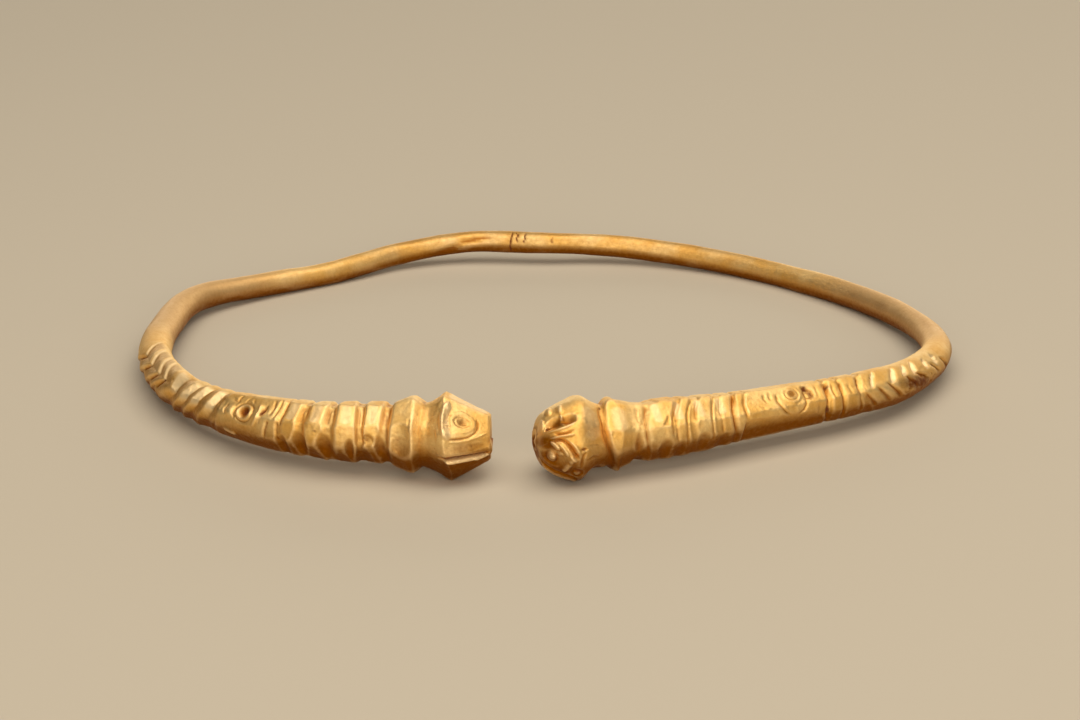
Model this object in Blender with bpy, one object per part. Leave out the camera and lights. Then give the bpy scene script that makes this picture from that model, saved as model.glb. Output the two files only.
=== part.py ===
"""Open gold bracelet lying flat: one hand-worked rod with two animal heads that nearly meet at the front.

The rod is a plain hammered wire round the back. Along each arm it thickens and turns eight-sided, carries
V-shaped scales, a panel with a ring-and-dot, transverse notches and a collar, and ends in a head.
Metres, +Z up. +X runs from the left head to the right one, and the opening between them faces -Y.

The rod is made as the smith made it: a straight bar, carved in terms of the distance along it and the
direction around it, and then bent along its route. Directions are in degrees as seen along the bar:
0 points out of the bracelet, 90 points up and 180 points to the wrist.
"""

import math

import bmesh
import bpy
import numpy as np
from mathutils import Matrix, Vector

MM = 0.001

# ------------------------------------------------------- driving dimensions, in millimetres and degrees

# The rod's axis from the left head's blunt face round the back to the right one's: across, back, height.
ROUTE = (
    (-4.2, -29.7, 3.73), (-7.3, -29.6, 3.73), (-11.0, -29.1, 3.75), (-14.7, -28.5, 3.7), (-18.3, -28.0, 3.6),
    (-23.7, -25.3, 3.35), (-29.0, -20.8, 3.0), (-33.3, -14.4, 2.6), (-36.3, -5.1, 2.2), (-36.2, 5.0, 2.0),
    (-34.3, 12.6, 1.9), (-28.5, 18.2, 1.4), (-21.7, 22.8, 1.2), (-14.7, 27.8, 1.7), (-7.4, 29.9, 2.3),
    (0.5, 29.6, 2.3), (8.5, 29.6, 1.9), (16.7, 27.4, 1.4), (24.7, 22.3, 1.2), (32.1, 14.2, 1.45),
    (36.6, 5.1, 1.9), (37.6, -4.3, 2.4), (33.5, -13.2, 2.9), (28.0, -18.1, 3.2), (21.4, -22.0, 3.4),
    (14.8, -25.5, 3.5), (9.6, -27.8, 3.6), (6.1, -28.9, 3.65), (2.6, -30.0, 3.68), (-0.5, -30.5, 3.68),
)
WORN_FLAT = 0.2          # how much is worn off below, where the bracelet rests

# Thickness of each arm: distance from its blunt face, thickness. Both end in the wire at the back.
LEFT_THICKNESS = (
    (0, 4.05), (3.8, 7.8), (5.75, 5.5), (6.4, 6.6), (6.9, 6.55), (8.7, 5.3), (9.6, 5.35), (12, 5.3),
    (16, 4.9), (20, 4.5), (25, 3.95), (30, 3.65), (36, 3.5), (44, 3.2), (52, 3.0), (60, 2.8), (68, 2.45),
    (80, 2.35), (90, 2.25), (105, 2.2),
)
RIGHT_THICKNESS = (
    (0, 3.9), (1.6, 6.05), (3.3, 7.4), (4.0, 7.2), (5.87, 5.4), (6.07, 6.2), (6.6, 6.45), (7.1, 6.2),
    (8.4, 4.9), (9.7, 5.3), (11, 5.25), (15, 4.8), (18, 4.4), (24, 4.05), (28, 3.8), (34, 3.7), (40, 3.3),
    (46, 3.05), (52, 2.75), (58, 2.6), (66, 2.65), (76, 2.5), (90, 2.4), (105, 2.2),
)

# Flat sides of a bar: direction, distance from the axis for each unit of half thickness.
EIGHT_SIDES = tuple((15 + 45 * side, 0.985) for side in range(8))
LEFT_HEAD_SIDES = tuple((97.5 - 45 * side, 0.866 if side % 2 else 0.966) for side in range(8))
CRISP_HEAD = 60           # the higher, the sharper the edges between flat sides
CRISP_ARM = 26
CRISP_RIGHT_HEAD = 16
CRISP_WIRE = 9
NECK = 5.3                # the head's own section ends here
NECK_LENGTH = 0.6
PLAIN_FROM = 44           # the eight-sided section softens into the wire's from here
PLAIN_LENGTH = 12

# How the rings slant into a V: distance, direction of the V's point, slope above it, slope below it.
LEFT_SLANT = (
    (0, 30, 0, 0), (3.8, 30, 0.05, -0.12), (5.5, 30, 0, 0), (6.4, 30, 0.09, 0), (8, 30, 0, 0),
    (23.5, 20, 0, 0), (26, 20, -0.2, 0.8), (31, 18, -0.35, 1.0), (33, 43, 1.0, 1.2), (42, 50, 1.0, 1.2),
    (47, 50, 0, 0),
)
RIGHT_SLANT = (
    (0, 30, 0, 0), (3.3, 30, 0.1, 0.06), (5.1, 30, 0, 0), (5.9, 30, 0.12, 0.04), (7.2, 25, 0, -0.04),
    (8.5, 25, 0.3, 0.1), (12, 25, 0.4, 0.15), (18.7, 25, 0.3, 0.1), (20.7, 25, 0, 0), (30, 35, 0, 0),
    (32.5, 30, 0.5, 0.9), (38, 38, 0.5, 0.9), (40.5, 38, 0.15, 1.1), (43.6, 42, 0, 1.3), (48, 42, 0, 0),
)
SLANT_REACH = 80          # a V's wings end this far round from its point

# Transverse notches: distance, width, depth. They are deepest on the upper outer side.
LEFT_NOTCHES = ((8.75, 1.1, 0.32), (11.2, 1.1, 0.3), (13.65, 1.1, 0.3), (16.2, 1.0, 0.28), (18.0, 0.6, 0.14))
RIGHT_NOTCHES = (
    (9.0, 0.8, 0.2), (11.65, 0.7, 0.2), (13.3, 0.9, 0.22), (15.75, 1.0, 0.16), (17.45, 0.6, 0.2),
    (18.7, 0.5, 0.14), (27.4, 0.7, 0.28), (29.1, 0.7, 0.14), (31.1, 0.8, 0.2),
)

NOTCH_DEEPEST = 60        # direction
NOTCH_LEAST = 0.24        # share of the depth left on the side facing away

# The left arm's scales: four broad ones, then Vs whose spacing grows. Each is a step facing the head.
BROAD_SCALES = tuple(25.5 + 1.95 * number for number in range(4))
VEE_SCALES = tuple(32.7 + 1.35 * number + 0.22 * number ** 2 for number in range(5))
STEP_LENGTH = 1.0
STEP_HEIGHT = 0.3
SCALE_TAIL = 1.5

# The right arm's herringbone: distance of each cut on the upper wing and on the lower wing.
UPPER_WING = (28, 42, 82, 98)         # directions where a wing starts, is full, and ends again
LOWER_WING = (-48, -28, 28, 42)
UPPER_CUTS = (32.4, 35.0, 36.9, 38.3, 40.5, 42.7)
LOWER_CUTS = (31.9, 33.5, 34.9, 37.0, 38.7, 41.1, 43.5)
CUT_WIDTH = 0.8
CUT_DEPTH = 0.24

# Marks laid on the skin: distance, direction, length, width, height or depth, turn on the skin.
# Hollows are cut first, then knobs and discs are raised, and dimples are cut last.
LEFT_HOLLOWS = (
    (3.85, 50, 1.2, 2.3, 0.4, 0), (2.45, 49, 3.0, 3.0, 0.22, 0), (1.8, -10, 5.0, 0.7, 0.45, -5),
    (19.95, 48, 0.7, 1.7, 0.25, 10), (23.4, 50, 0.7, 1.7, 0.22, -10),
)
RIGHT_HOLLOWS = (
    (1.4, 51, 1.5, 1.1, 0.45, 0), (2.75, 53, 1.3, 1.0, 0.42, 0), (2.5, 6, 1.9, 0.6, 0.3, -50),
    (1.35, -14, 2.1, 1.9, 0.25, 0), (25.65, 47, 1.0, 2.9, 0.28, 0), (21.85, 46, 0.9, 2.6, 0.25, 0),
)
LEFT_KNOBS = ((2.1, -26, 4.1, 0.8, 0.34, -14),)
RIGHT_KNOBS = (
    (0.55, 58, 0.8, 1.0, 0.36, 0), (1.25, 83, 0.8, 0.8, 0.3, 0), (2.1, 76, 0.8, 0.8, 0.3, 0),
    (2.2, 28, 2.4, 0.6, 0.26, 4), (1.55, 9, 1.9, 0.6, 0.32, -50), (1.35, -14, 1.1, 1.1, 0.55, 0),
    (2.4, -29, 0.9, 0.9, 0.36, 0), (3.15, -36, 0.7, 0.7, 0.3, 0),
)
ROUND_MARK = 0.95         # a round mark wider than this is cut finer
DISC_FOOT = 1.1           # a disc's foot and top, for each unit of its half width
DISC_TOP = 0.94
DISC_SIDES = 20
LEFT_DISCS = ((2.45, 49, 2.3, 2.3, 0.12, 0), (21.6, 39, 1.9, 1.9, 0.16, 0))
RIGHT_DISCS = ((23.8, 46, 2.9, 2.9, 0.14, 0),)
LEFT_DIMPLES = ((2.45, 50, 1.25, 1.25, 0.4, 0), (21.6, 39, 1.0, 1.0, 0.45, 0))
RIGHT_DIMPLES = ((23.9, 56, 1.35, 1.35, 0.4, 0),)

# The blank bar: number of sides of each stretch, and the widest spacing of its rings.
CORNER = -7.5             # direction of one edge between the flat sides
HEAD_LENGTH = 4.8
LEFT_CARVED = 46.0
RIGHT_CARVED = 48.0
HEAD_SIDES = 24
ARM_SIDES = 16
WIRE_SIDES = 8
HEAD_SPACING = 1.0
ARM_SPACING = 1.3
WIRE_SPACING = 2.2
CLOSEST = 0.15            # two rings are never closer than this

NEAR = 0.3                # how far to either side a direction on the rod is taken, along it and round it
NEAR_TURN = 3.0
SEAM = -120               # directions are counted up from this one
SHARP_EDGE = 30           # faces that meet at more than this keep a crisp edge


# ---------------------------------------------------------------- small helpers

def rise(x):
    """Smooth step: 0 up to x = 0, 1 from x = 1."""
    x = np.clip(x, 0, 1)
    return x * x * (3 - 2 * x)


def hump(x):
    """Smooth hump: 1 at x = 0, nothing beyond -1 and +1."""
    return rise(1 - np.abs(x))


def column(rows, number, at):
    """One column of a table read at some distances along the rod."""
    return np.interp(at, [row[0] for row in rows], [row[number] for row in rows])


def turned(angle, middle):
    """Angle measured from a middle direction, between -180 and 180."""
    return (angle - middle + 180) % 360 - 180


# ---------------------------------------------------------------- the route

def smooth_route(points, steps=40):
    """Smooth curve through the points (Catmull-Rom), and the distance along it."""
    points = np.array(points)
    points = np.vstack([2 * points[0] - points[1], points, 2 * points[-1] - points[-2]])
    curve = [points[1]]
    for before, start, end, after in zip(points, points[1:], points[2:], points[3:]):
        for t in np.linspace(0, 1, steps + 1)[1:]:
            straight = 2 * start + (end - before) * t
            bend = (2 * before - 5 * start + 4 * end - after) * t ** 2
            twist = (3 * start - before - 3 * end + after) * t ** 3
            curve.append((straight + bend + twist) / 2)
    curve = np.array(curve)
    lengths = np.linalg.norm(np.diff(curve, axis=0), axis=1)
    return curve, np.concatenate([[0], np.cumsum(lengths)])


CURVE, DISTANCE = smooth_route(ROUTE)
LENGTH = DISTANCE[-1]


def on_route(distance):
    """Point of the axis at a distance from the left head's face, run on straight past both ends."""
    inside = np.clip(distance, 0, LENGTH)
    point = np.stack([np.interp(inside, DISTANCE, CURVE[:, axis]) for axis in range(3)], axis=-1)
    first = (CURVE[1] - CURVE[0]) / DISTANCE[1]
    last = (CURVE[-1] - CURVE[-2]) / (LENGTH - DISTANCE[-2])
    past = (distance - inside)[..., None]
    return point + past * np.where(past < 0, first, last)


def bend(distance, angle, radius):
    """Places on the bent rod, for distances along it, directions around it and distances from its axis."""
    point = on_route(distance)
    along = on_route(distance + NEAR) - on_route(distance - NEAR)
    along /= np.linalg.norm(along, axis=-1, keepdims=True)
    outwards = np.cross((0, 0, 1), along)
    outwards /= np.linalg.norm(outwards, axis=-1, keepdims=True)
    upwards = np.cross(along, outwards)
    turn = np.radians(angle)
    offset = np.cos(turn)[..., None] * outwards + np.sin(turn)[..., None] * upwards
    return point + radius[..., None] * offset


# ---------------------------------------------------------------- notches, scales and cuts round the bar

def notches(distance, angle, rows):
    """Transverse notches, full on the upper outer side and shallow below and inside."""
    facing = (1 + np.cos(np.radians(angle - NOTCH_DEEPEST))) / 2
    side = NOTCH_LEAST + (1 - NOTCH_LEAST) * facing
    total = np.zeros_like(distance)
    for at, width, depth in rows:
        total += depth * side * hump((distance - at) / (width / 2))
    return total


def left_cuts(distance, angle):
    """Depth of the left arm's notches and scales."""
    depth = notches(distance, angle, LEFT_NOTCHES)
    for at in BROAD_SCALES + VEE_SCALES:
        before = distance - at + STEP_LENGTH / 2
        tail = np.where(before < 0, rise(1 + before / SCALE_TAIL), 0)
        face = np.where((before >= 0) & (before <= STEP_LENGTH), 1 - before / STEP_LENGTH, 0)
        depth += STEP_HEIGHT * (tail + face)
    return depth


def right_cuts(distance, angle):
    """Depth of the right arm's notches and herringbone."""
    depth = notches(distance, angle, RIGHT_NOTCHES)
    for (first, full, last, end), places in ((UPPER_WING, UPPER_CUTS), (LOWER_WING, LOWER_CUTS)):
        wing = rise((angle - first) / (full - first)) * rise((end - angle) / (end - last))
        for at in places:
            depth += CUT_DEPTH * wing * hump((distance - at) / (CUT_WIDTH / 2))
    return depth


# ---------------------------------------------------------------- the carved bar

def sided(angle, sides, crispness):
    """Distance from the axis to a flat-sided bar of unit half thickness, with softened edges."""
    total = np.zeros_like(angle)
    for direction, distance in sides:
        facing = np.cos(np.radians(angle - direction))
        total += (np.maximum(facing, 0) / distance) ** crispness
    return total ** (-1 / crispness)


def arm(distance, angle, thickness, slant, head_section, cuts):
    """Slanted distance and distance from the axis, on the arm of one head."""
    half = column(thickness, 1, distance) / 2
    wire = rise((distance - PLAIN_FROM) / PLAIN_LENGTH)
    head = 1 - rise((distance - NECK) / NECK_LENGTH)
    section = sided(angle, EIGHT_SIDES, CRISP_ARM)
    section += wire * (sided(angle, EIGHT_SIDES, CRISP_WIRE) - section)
    section += head * (head_section - section)
    around = turned(angle, column(slant, 1, distance))
    above = column(slant, 2, distance)
    below = column(slant, 3, distance)
    wing = np.where(around > 0, above, below) * np.minimum(np.abs(around), SLANT_REACH)
    hidden = (np.abs(around) - SLANT_REACH) / (180 - SLANT_REACH)
    wing += np.clip(hidden, 0, 1) * ((above + below) / 2 * SLANT_REACH - wing)
    lean = np.radians(wing) * half
    return distance + lean, half * section - cuts(distance, angle)


def left_arm(distance, angle):
    """The left arm, by distance from its own face."""
    head = sided(angle, LEFT_HEAD_SIDES, CRISP_HEAD)
    return arm(distance, angle, LEFT_THICKNESS, LEFT_SLANT, head, left_cuts)


def right_arm(distance, angle):
    """The right arm, by distance from its own face."""
    head = sided(angle, EIGHT_SIDES, CRISP_RIGHT_HEAD)
    return arm(distance, angle, RIGHT_THICKNESS, RIGHT_SLANT, head, right_cuts)


def carve(distance, angle):
    """Places on the carved and bent rod, for distances from the left face and directions around it."""
    angle = (angle - SEAM) % 360 + SEAM
    on_left = distance < LENGTH / 2
    left_distance, left_radius = left_arm(distance, angle)
    right_distance, right_radius = right_arm(LENGTH - distance, angle)
    slanted = np.where(on_left, left_distance, LENGTH - right_distance)
    return bend(slanted, angle, np.where(on_left, left_radius, right_radius))


# ---------------------------------------------------------------- the blank bar

def rings(start, end, marks, widest):
    """Distances of a stretch's rings: at its marks, and between them no further apart than the widest."""
    inside = [mark for mark in marks if start + CLOSEST < mark < end - CLOSEST]
    found = [start]
    for mark in sorted(inside) + [end]:
        gap = mark - found[-1]
        if gap < CLOSEST:
            continue
        count = math.ceil(gap / widest)
        found += [found[-1] + gap * step / count for step in range(1, count + 1)]
    return found


def arm_marks(thickness, notches, others):
    """Distances where an arm's profile turns."""
    found = [row[0] for row in thickness]
    for at, width, _ in notches:
        found += [at - width / 2, at, at + width / 2]
    for at, width in others:
        found += [at - width / 2, at, at + width / 2]
    return found


def stretches():
    """The blank's five stretches: number of sides and distances of the rings from the left face."""
    steps = [(at, STEP_LENGTH) for at in BROAD_SCALES + VEE_SCALES]
    cuts = [(at, CUT_WIDTH) for at in UPPER_CUTS + LOWER_CUTS]
    left = arm_marks(LEFT_THICKNESS, LEFT_NOTCHES, steps)
    right = arm_marks(RIGHT_THICKNESS, RIGHT_NOTCHES, cuts)
    right_head = rings(0, HEAD_LENGTH, right, HEAD_SPACING)
    right_arm = rings(HEAD_LENGTH, RIGHT_CARVED, right, ARM_SPACING)
    wire = rings(LEFT_CARVED, LENGTH - RIGHT_CARVED, [], WIRE_SPACING)
    return (
        (HEAD_SIDES, rings(0, HEAD_LENGTH, left, HEAD_SPACING)[:-1]),
        (ARM_SIDES, rings(HEAD_LENGTH, LEFT_CARVED, left, ARM_SPACING)),
        (WIRE_SIDES, wire[1:-1]),
        (ARM_SIDES, [LENGTH - at for at in reversed(right_arm)]),
        (HEAD_SIDES, [LENGTH - at for at in reversed(right_head)][1:]),
    )


def draw_blank(shape):
    """Straight bar along X with one ring of points at each distance, closed at both ends."""
    distances = []
    last_ring = []
    for sides, places in stretches():
        number = len(distances)
        made = bmesh.ops.create_circle(shape, segments=sides, radius=1)
        corners = made["verts"]
        for corner in corners:
            turn = math.atan2(corner.co.y, corner.co.x) + math.radians(CORNER)
            corner.co = (number, math.cos(turn), math.sin(turn))
        first_ring = list({edge for corner in corners for edge in corner.link_edges})
        if last_ring:
            bmesh.ops.bridge_loops(shape, edges=last_ring + first_ring)
        pulled = bmesh.ops.spin(
            shape, geom=first_ring, cent=(0, 0, 0), axis=(1, 0, 0), angle=0,
            steps=len(places) - 1, dvec=(1, 0, 0), use_duplicate=False,
        )
        last_ring = [item for item in pulled["geom_last"] if isinstance(item, bmesh.types.BMEdge)]
        distances += places
    open_edges = [edge for edge in shape.edges if edge.is_boundary]
    bmesh.ops.holes_fill(shape, edges=open_edges, sides=0)
    return distances


def wear_flat(shape):
    """Cut small flats below, where the bracelet rests, and set it down on them."""
    lowest = min(corner.co.z for corner in shape.verts)
    everything = shape.verts[:] + shape.edges[:] + shape.faces[:]
    level = lowest + WORN_FLAT
    bmesh.ops.bisect_plane(
        shape, geom=everything, plane_co=(0, 0, level), plane_no=(0, 0, 1), clear_inner=True,
    )
    open_edges = [edge for edge in shape.edges if edge.is_boundary]
    bmesh.ops.holes_fill(shape, edges=open_edges, sides=0)


def centre(shape):
    """Bring the middle of the footprint to the origin, with the lowest point at height 0."""
    places = np.array([corner.co for corner in shape.verts])
    low = places.min(axis=0)
    high = places.max(axis=0)
    move = (-(low[0] + high[0]) / 2, -(low[1] + high[1]) / 2, -low[2])
    bmesh.ops.translate(shape, verts=shape.verts, vec=move)


def gold():
    """Worn, rich yellow gold."""
    material = bpy.data.materials.new("gold")
    material.use_nodes = True
    shader = material.node_tree.nodes["Principled BSDF"]
    shader.inputs["Base Color"].default_value = (0.83, 0.52, 0.17, 1)
    shader.inputs["Metallic"].default_value = 1.0
    shader.inputs["Roughness"].default_value = 0.38
    return material


def skin_frame(distance, angle, turn):
    """Place on the rod's skin: X along the rod, turned on the skin by an angle, and Z straight out of it."""
    spots = carve(np.array([distance - NEAR, distance + NEAR, distance, distance]),
                  np.array([angle, angle, angle - NEAR_TURN, angle + NEAR_TURN]))
    along = Vector(spots[1] - spots[0]).normalized()
    out = along.cross(Vector(spots[3] - spots[2])).normalized()
    middle = Vector(spots.mean(axis=0))
    if out.dot(middle - Vector(on_route(np.array([distance]))[0])) < 0:
        out.negate()
    across = out.cross(along)
    frame = Matrix((along, across, out)).transposed().to_4x4()
    frame.translation = middle
    return frame @ Matrix.Rotation(math.radians(turn), 4, "Z")


def cut_or_raise(bracelet, kind, left_rows, right_rows, flat=False):
    """Boolean that cuts rounded hollows in the rod, or raises rounded knobs or flat discs on it."""
    shape = bmesh.new()
    rows = [(row[0], *row[1:]) for row in left_rows] + [(LENGTH - row[0], *row[1:]) for row in right_rows]
    for distance, angle, length, width, height, turn in rows:
        frame = skin_frame(distance, angle, turn)
        if flat:
            size = Matrix.Diagonal((length / 2, width / 2, 2 * height, 1))
            bmesh.ops.create_cone(shape, cap_ends=True, segments=DISC_SIDES, radius1=DISC_FOOT,
                                  radius2=DISC_TOP, depth=1, matrix=frame @ size)
        else:
            size = Matrix.Diagonal((length / 2, width / 2, height, 1))
            fineness = 3 if length == width > ROUND_MARK else 2
            bmesh.ops.create_icosphere(shape, subdivisions=fineness, radius=1, matrix=frame @ size)
    mesh = bpy.data.meshes.new(kind)
    shape.to_mesh(mesh)
    shape.free()
    tool = bpy.data.objects.new(kind, mesh)
    tool.hide_render = True
    tool.display_type = "WIRE"
    bpy.context.scene.collection.objects.link(tool)
    change = bracelet.modifiers.new(kind, "BOOLEAN")
    change.operation = kind
    change.object = tool
    change.use_self = True
    return tool


def finished_mesh(bracelet, tools):
    """The rod's mesh with every cut and raised mark worked in, and the tools cleared away."""
    evaluated = bracelet.evaluated_get(bpy.context.evaluated_depsgraph_get())
    mesh = bpy.data.meshes.new_from_object(evaluated)
    bracelet.modifiers.clear()
    for tool in tools:
        bpy.data.objects.remove(tool, do_unlink=True)
    return mesh


def make_bracelet():
    """The whole rod: drawn as a blank, carved, bent, marked, and worn flat where it rests."""
    shape = bmesh.new()
    distances = np.array(draw_blank(shape))
    corners = list(shape.verts)
    places = np.array([corner.co for corner in corners])
    along = distances[np.rint(places[:, 0]).astype(int)]
    around = np.degrees(np.arctan2(places[:, 2], places[:, 1]))
    for corner, place in zip(corners, carve(along, around)):
        corner.co = place
    bmesh.ops.recalc_face_normals(shape, faces=shape.faces)
    mesh = bpy.data.meshes.new("bracelet")
    shape.to_mesh(mesh)
    bracelet = bpy.data.objects.new("bracelet", mesh)
    bpy.context.scene.collection.objects.link(bracelet)
    tools = (
        cut_or_raise(bracelet, "DIFFERENCE", LEFT_HOLLOWS, RIGHT_HOLLOWS),
        cut_or_raise(bracelet, "UNION", LEFT_KNOBS, RIGHT_KNOBS),
        cut_or_raise(bracelet, "UNION", LEFT_DISCS, RIGHT_DISCS, flat=True),
        cut_or_raise(bracelet, "DIFFERENCE", LEFT_DIMPLES, RIGHT_DIMPLES),
    )
    marked = finished_mesh(bracelet, tools)
    shape.clear()
    shape.from_mesh(marked)
    wear_flat(shape)
    centre(shape)
    bmesh.ops.scale(shape, verts=shape.verts, vec=(MM, MM, MM))
    shape.to_mesh(mesh)
    shape.free()
    bpy.data.meshes.remove(marked)
    mesh.shade_smooth()
    mesh.set_sharp_from_angle(angle=math.radians(SHARP_EDGE))
    mesh.materials.append(gold())


for leftover in list(bpy.data.objects):
    bpy.data.objects.remove(leftover, do_unlink=True)
make_bracelet()
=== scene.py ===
import math
from typing import NamedTuple

import bmesh
import bpy
import numpy as np
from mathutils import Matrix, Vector, noise


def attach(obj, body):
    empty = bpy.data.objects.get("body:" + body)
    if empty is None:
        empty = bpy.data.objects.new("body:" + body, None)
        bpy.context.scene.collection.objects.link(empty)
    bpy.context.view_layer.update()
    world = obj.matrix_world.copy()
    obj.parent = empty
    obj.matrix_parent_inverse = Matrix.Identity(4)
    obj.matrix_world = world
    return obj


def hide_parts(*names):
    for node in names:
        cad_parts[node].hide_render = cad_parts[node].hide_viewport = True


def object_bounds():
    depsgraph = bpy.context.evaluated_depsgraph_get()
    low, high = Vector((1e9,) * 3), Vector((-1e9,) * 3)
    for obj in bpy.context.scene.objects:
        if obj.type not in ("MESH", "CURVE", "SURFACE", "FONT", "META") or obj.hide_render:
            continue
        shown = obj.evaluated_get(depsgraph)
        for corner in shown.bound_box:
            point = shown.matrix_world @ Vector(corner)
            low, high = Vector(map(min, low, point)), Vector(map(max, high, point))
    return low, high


# Looks of an open gold bracelet with two small animal heads that nearly meet. It is one hand-worked piece, so
# one fine mesh stands for the whole solid. It is made in the smith's order: a straight bar, forged to its
# thickness and slanted where the scales are Vs, notched, chased with single strokes of the graver, hammered,
# and then bent along its route.
#
# Places on the bar are a distance from its own head's blunt face and a direction around it, in degrees: 0
# points out of the bracelet, 90 up and 180 to the wrist. Lengths are in millimetres until the mesh is made.

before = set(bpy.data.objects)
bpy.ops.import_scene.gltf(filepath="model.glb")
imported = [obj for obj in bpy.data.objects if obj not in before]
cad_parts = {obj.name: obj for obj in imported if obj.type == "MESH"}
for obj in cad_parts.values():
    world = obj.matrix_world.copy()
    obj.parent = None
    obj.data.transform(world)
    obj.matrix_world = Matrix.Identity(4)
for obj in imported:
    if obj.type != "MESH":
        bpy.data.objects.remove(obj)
CAD_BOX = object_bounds()

MM = 0.001

# ------------------------------------------------------------------------------------- the forged bar

# The rod's axis from the left head's face round the back to the right one's: across, back, height.
ROUTE = (
    (-4.2, -29.7, 3.73), (-7.3, -29.6, 3.73), (-11.0, -29.1, 3.75), (-14.7, -28.5, 3.7), (-18.3, -28.0, 3.6),
    (-23.7, -25.3, 3.35), (-29.0, -20.8, 3.0), (-33.3, -14.4, 2.6), (-36.3, -5.1, 2.2), (-36.2, 5.0, 2.0),
    (-34.3, 12.6, 1.9), (-28.5, 18.2, 1.4), (-21.7, 22.8, 1.2), (-14.7, 27.8, 1.7), (-7.4, 29.9, 2.3),
    (0.5, 29.6, 2.3), (8.5, 29.6, 1.9), (16.7, 27.4, 1.4), (24.7, 22.3, 1.2), (32.1, 14.2, 1.45),
    (36.6, 5.1, 1.9), (37.6, -4.3, 2.4), (33.5, -13.2, 2.9), (28.0, -18.1, 3.2), (21.4, -22.0, 3.4),
    (14.8, -25.5, 3.5), (9.6, -27.8, 3.6), (6.1, -28.9, 3.65), (2.6, -30.0, 3.68), (-0.5, -30.5, 3.68),
)


class Arm(NamedTuple):
    """How one arm is forged. Its tables go by the distance from the arm's own blunt face."""

    thickness: tuple          # distance, thickness
    softness: tuple           # distance, how far along the bar changes of thickness are softened
    head_sides: tuple         # flat sides of the head: direction, distance from the axis per half thickness
    sides: tuple              # flat sides of the arm, given in the same way
    crispness: tuple          # distance, how crisp the edges between the flat sides are
    slant: tuple              # distance, direction of the rings' V point, slope above it, slope below it
    notches: tuple            # distance, width, depth
    scales: tuple             # distance, length of the face towards the head, of the fall before it, depth


HIDDEN_SIDES = ((-78, 0.985), (-120, 0.985), (-165, 0.985), (150, 0.985), (105, 0.985))

LEFT_ARM = Arm(
    thickness=(
        (0, 3.8), (0.2, 4.2), (3.8, 7.8), (5.75, 5.5), (6.4, 6.6), (6.9, 6.55), (8.7, 5.3), (9.6, 5.35),
        (12, 5.3), (16, 4.9), (20, 4.5), (25, 3.95), (30, 3.65), (36, 3.5), (44, 3.2), (52, 3.0), (60, 2.8),
        (68, 2.45), (80, 2.35), (90, 2.25), (105, 2.2),
    ),
    softness=((0, 0),),
    head_sides=tuple((97.5 - 45 * side, 0.866 if side % 2 else 0.966) for side in range(8)),
    sides=((56, 0.956), (10, 1.0), (-35, 0.964)) + HIDDEN_SIDES,
    crispness=(
        (0, 56), (3.9, 50), (4.4, 12), (5.7, 12), (5.9, 44), (19.5, 44), (24, 18), (32, 11), (44, 7), (56, 8),
    ),
    slant=(
        (0, 30, 0, 0), (3.8, 30, 0.05, -0.12), (5.5, 30, 0, 0), (6.4, 30, 0.09, 0), (8, 30, 0, 0),
        (23.5, 20, 0, 0), (26, 20, -0.2, 0.8), (31, 18, -0.35, 1.0), (33, 43, 1.2, 1.5), (42, 48, 1.3, 1.6),
        (47, 50, 0, 0),
    ),
    notches=(
        (8.8, 1.15, 0.38), (11.2, 1.2, 0.37), (13.6, 1.15, 0.36), (15.9, 1.1, 0.33), (17.9, 0.6, 0.16),
    ),
    scales=(
        (26.0, 0.95, 0.95, 0.36), (28.2, 0.95, 1.2, 0.38), (30.05, 0.95, 0.9, 0.38), (31.9, 0.9, 0.9, 0.34),
        (34.35, 0.5, 1.5, 0.22), (36.15, 0.5, 1.3, 0.24), (39.0, 0.5, 2.2, 0.24), (42.1, 0.5, 2.2, 0.22),
    ),
)

RIGHT_ARM = Arm(
    thickness=(
        (0, 1.5), (0.05, 2.4), (0.12, 3.1), (0.3, 3.95), (0.7, 4.85), (1.6, 6.1), (3.1, 7.5), (3.5, 7.35),
        (4.1, 6.5), (4.8, 5.7), (5.4, 5.25), (5.65, 6.1), (6.0, 6.45), (6.7, 6.3), (7.3, 6.0), (8.4, 4.9),
        (9.7, 5.3), (11, 5.25), (15, 4.8), (18, 4.4), (24, 4.05), (28, 3.8), (34, 3.7), (40, 3.3), (46, 3.05),
        (52, 2.75), (58, 2.6), (66, 2.65), (76, 2.5), (90, 2.4), (105, 2.2),
    ),
    softness=((0, 0.1), (0.8, 0.3), (4.2, 0.45), (5.0, 0.12), (5.9, 0.1), (6.6, 0.4), (8.6, 0.4), (9.2, 0.1)),
    head_sides=tuple((15 + 45 * side, 0.985) for side in range(8)),
    sides=((53, 0.915), (8, 1.0), (-32, 0.95)) + HIDDEN_SIDES,
    crispness=((0, 12), (5.4, 14), (6.2, 40), (26, 40), (30, 20), (36, 10), (44, 7), (56, 8)),
    slant=(
        (0, 30, 0, 0), (1.5, 30, 0.1, 0), (3.3, 30, 0.2, 0.06), (4.6, 30, 0.2, 0.08), (5.4, 30, 0.22, 0.26),
        (6.2, 30, 0.2, 0.2), (7.2, 25, 0, -0.04), (8.5, 25, 0.3, 0.1), (12, 25, 0.4, 0.15),
        (18.7, 25, 0.3, 0.1), (20.7, 25, 0, 0), (30, 35, 0, 0), (32.5, 30, 0.5, 0.9), (38, 38, 0.5, 0.9),
        (40.5, 38, 0.15, 1.1), (43.6, 42, 0, 1.3), (48, 42, 0, 0),
    ),
    notches=(
        (9.1, 0.9, 0.12), (11.75, 0.8, 0.1), (13.5, 0.9, 0.12), (16.0, 1.0, 0.1), (17.7, 0.7, 0.16),
        (19.0, 0.5, 0.08), (27.8, 0.7, 0.22), (29.35, 0.6, 0.12), (31.25, 0.7, 0.16),
    ),
    scales=(),
)

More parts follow.
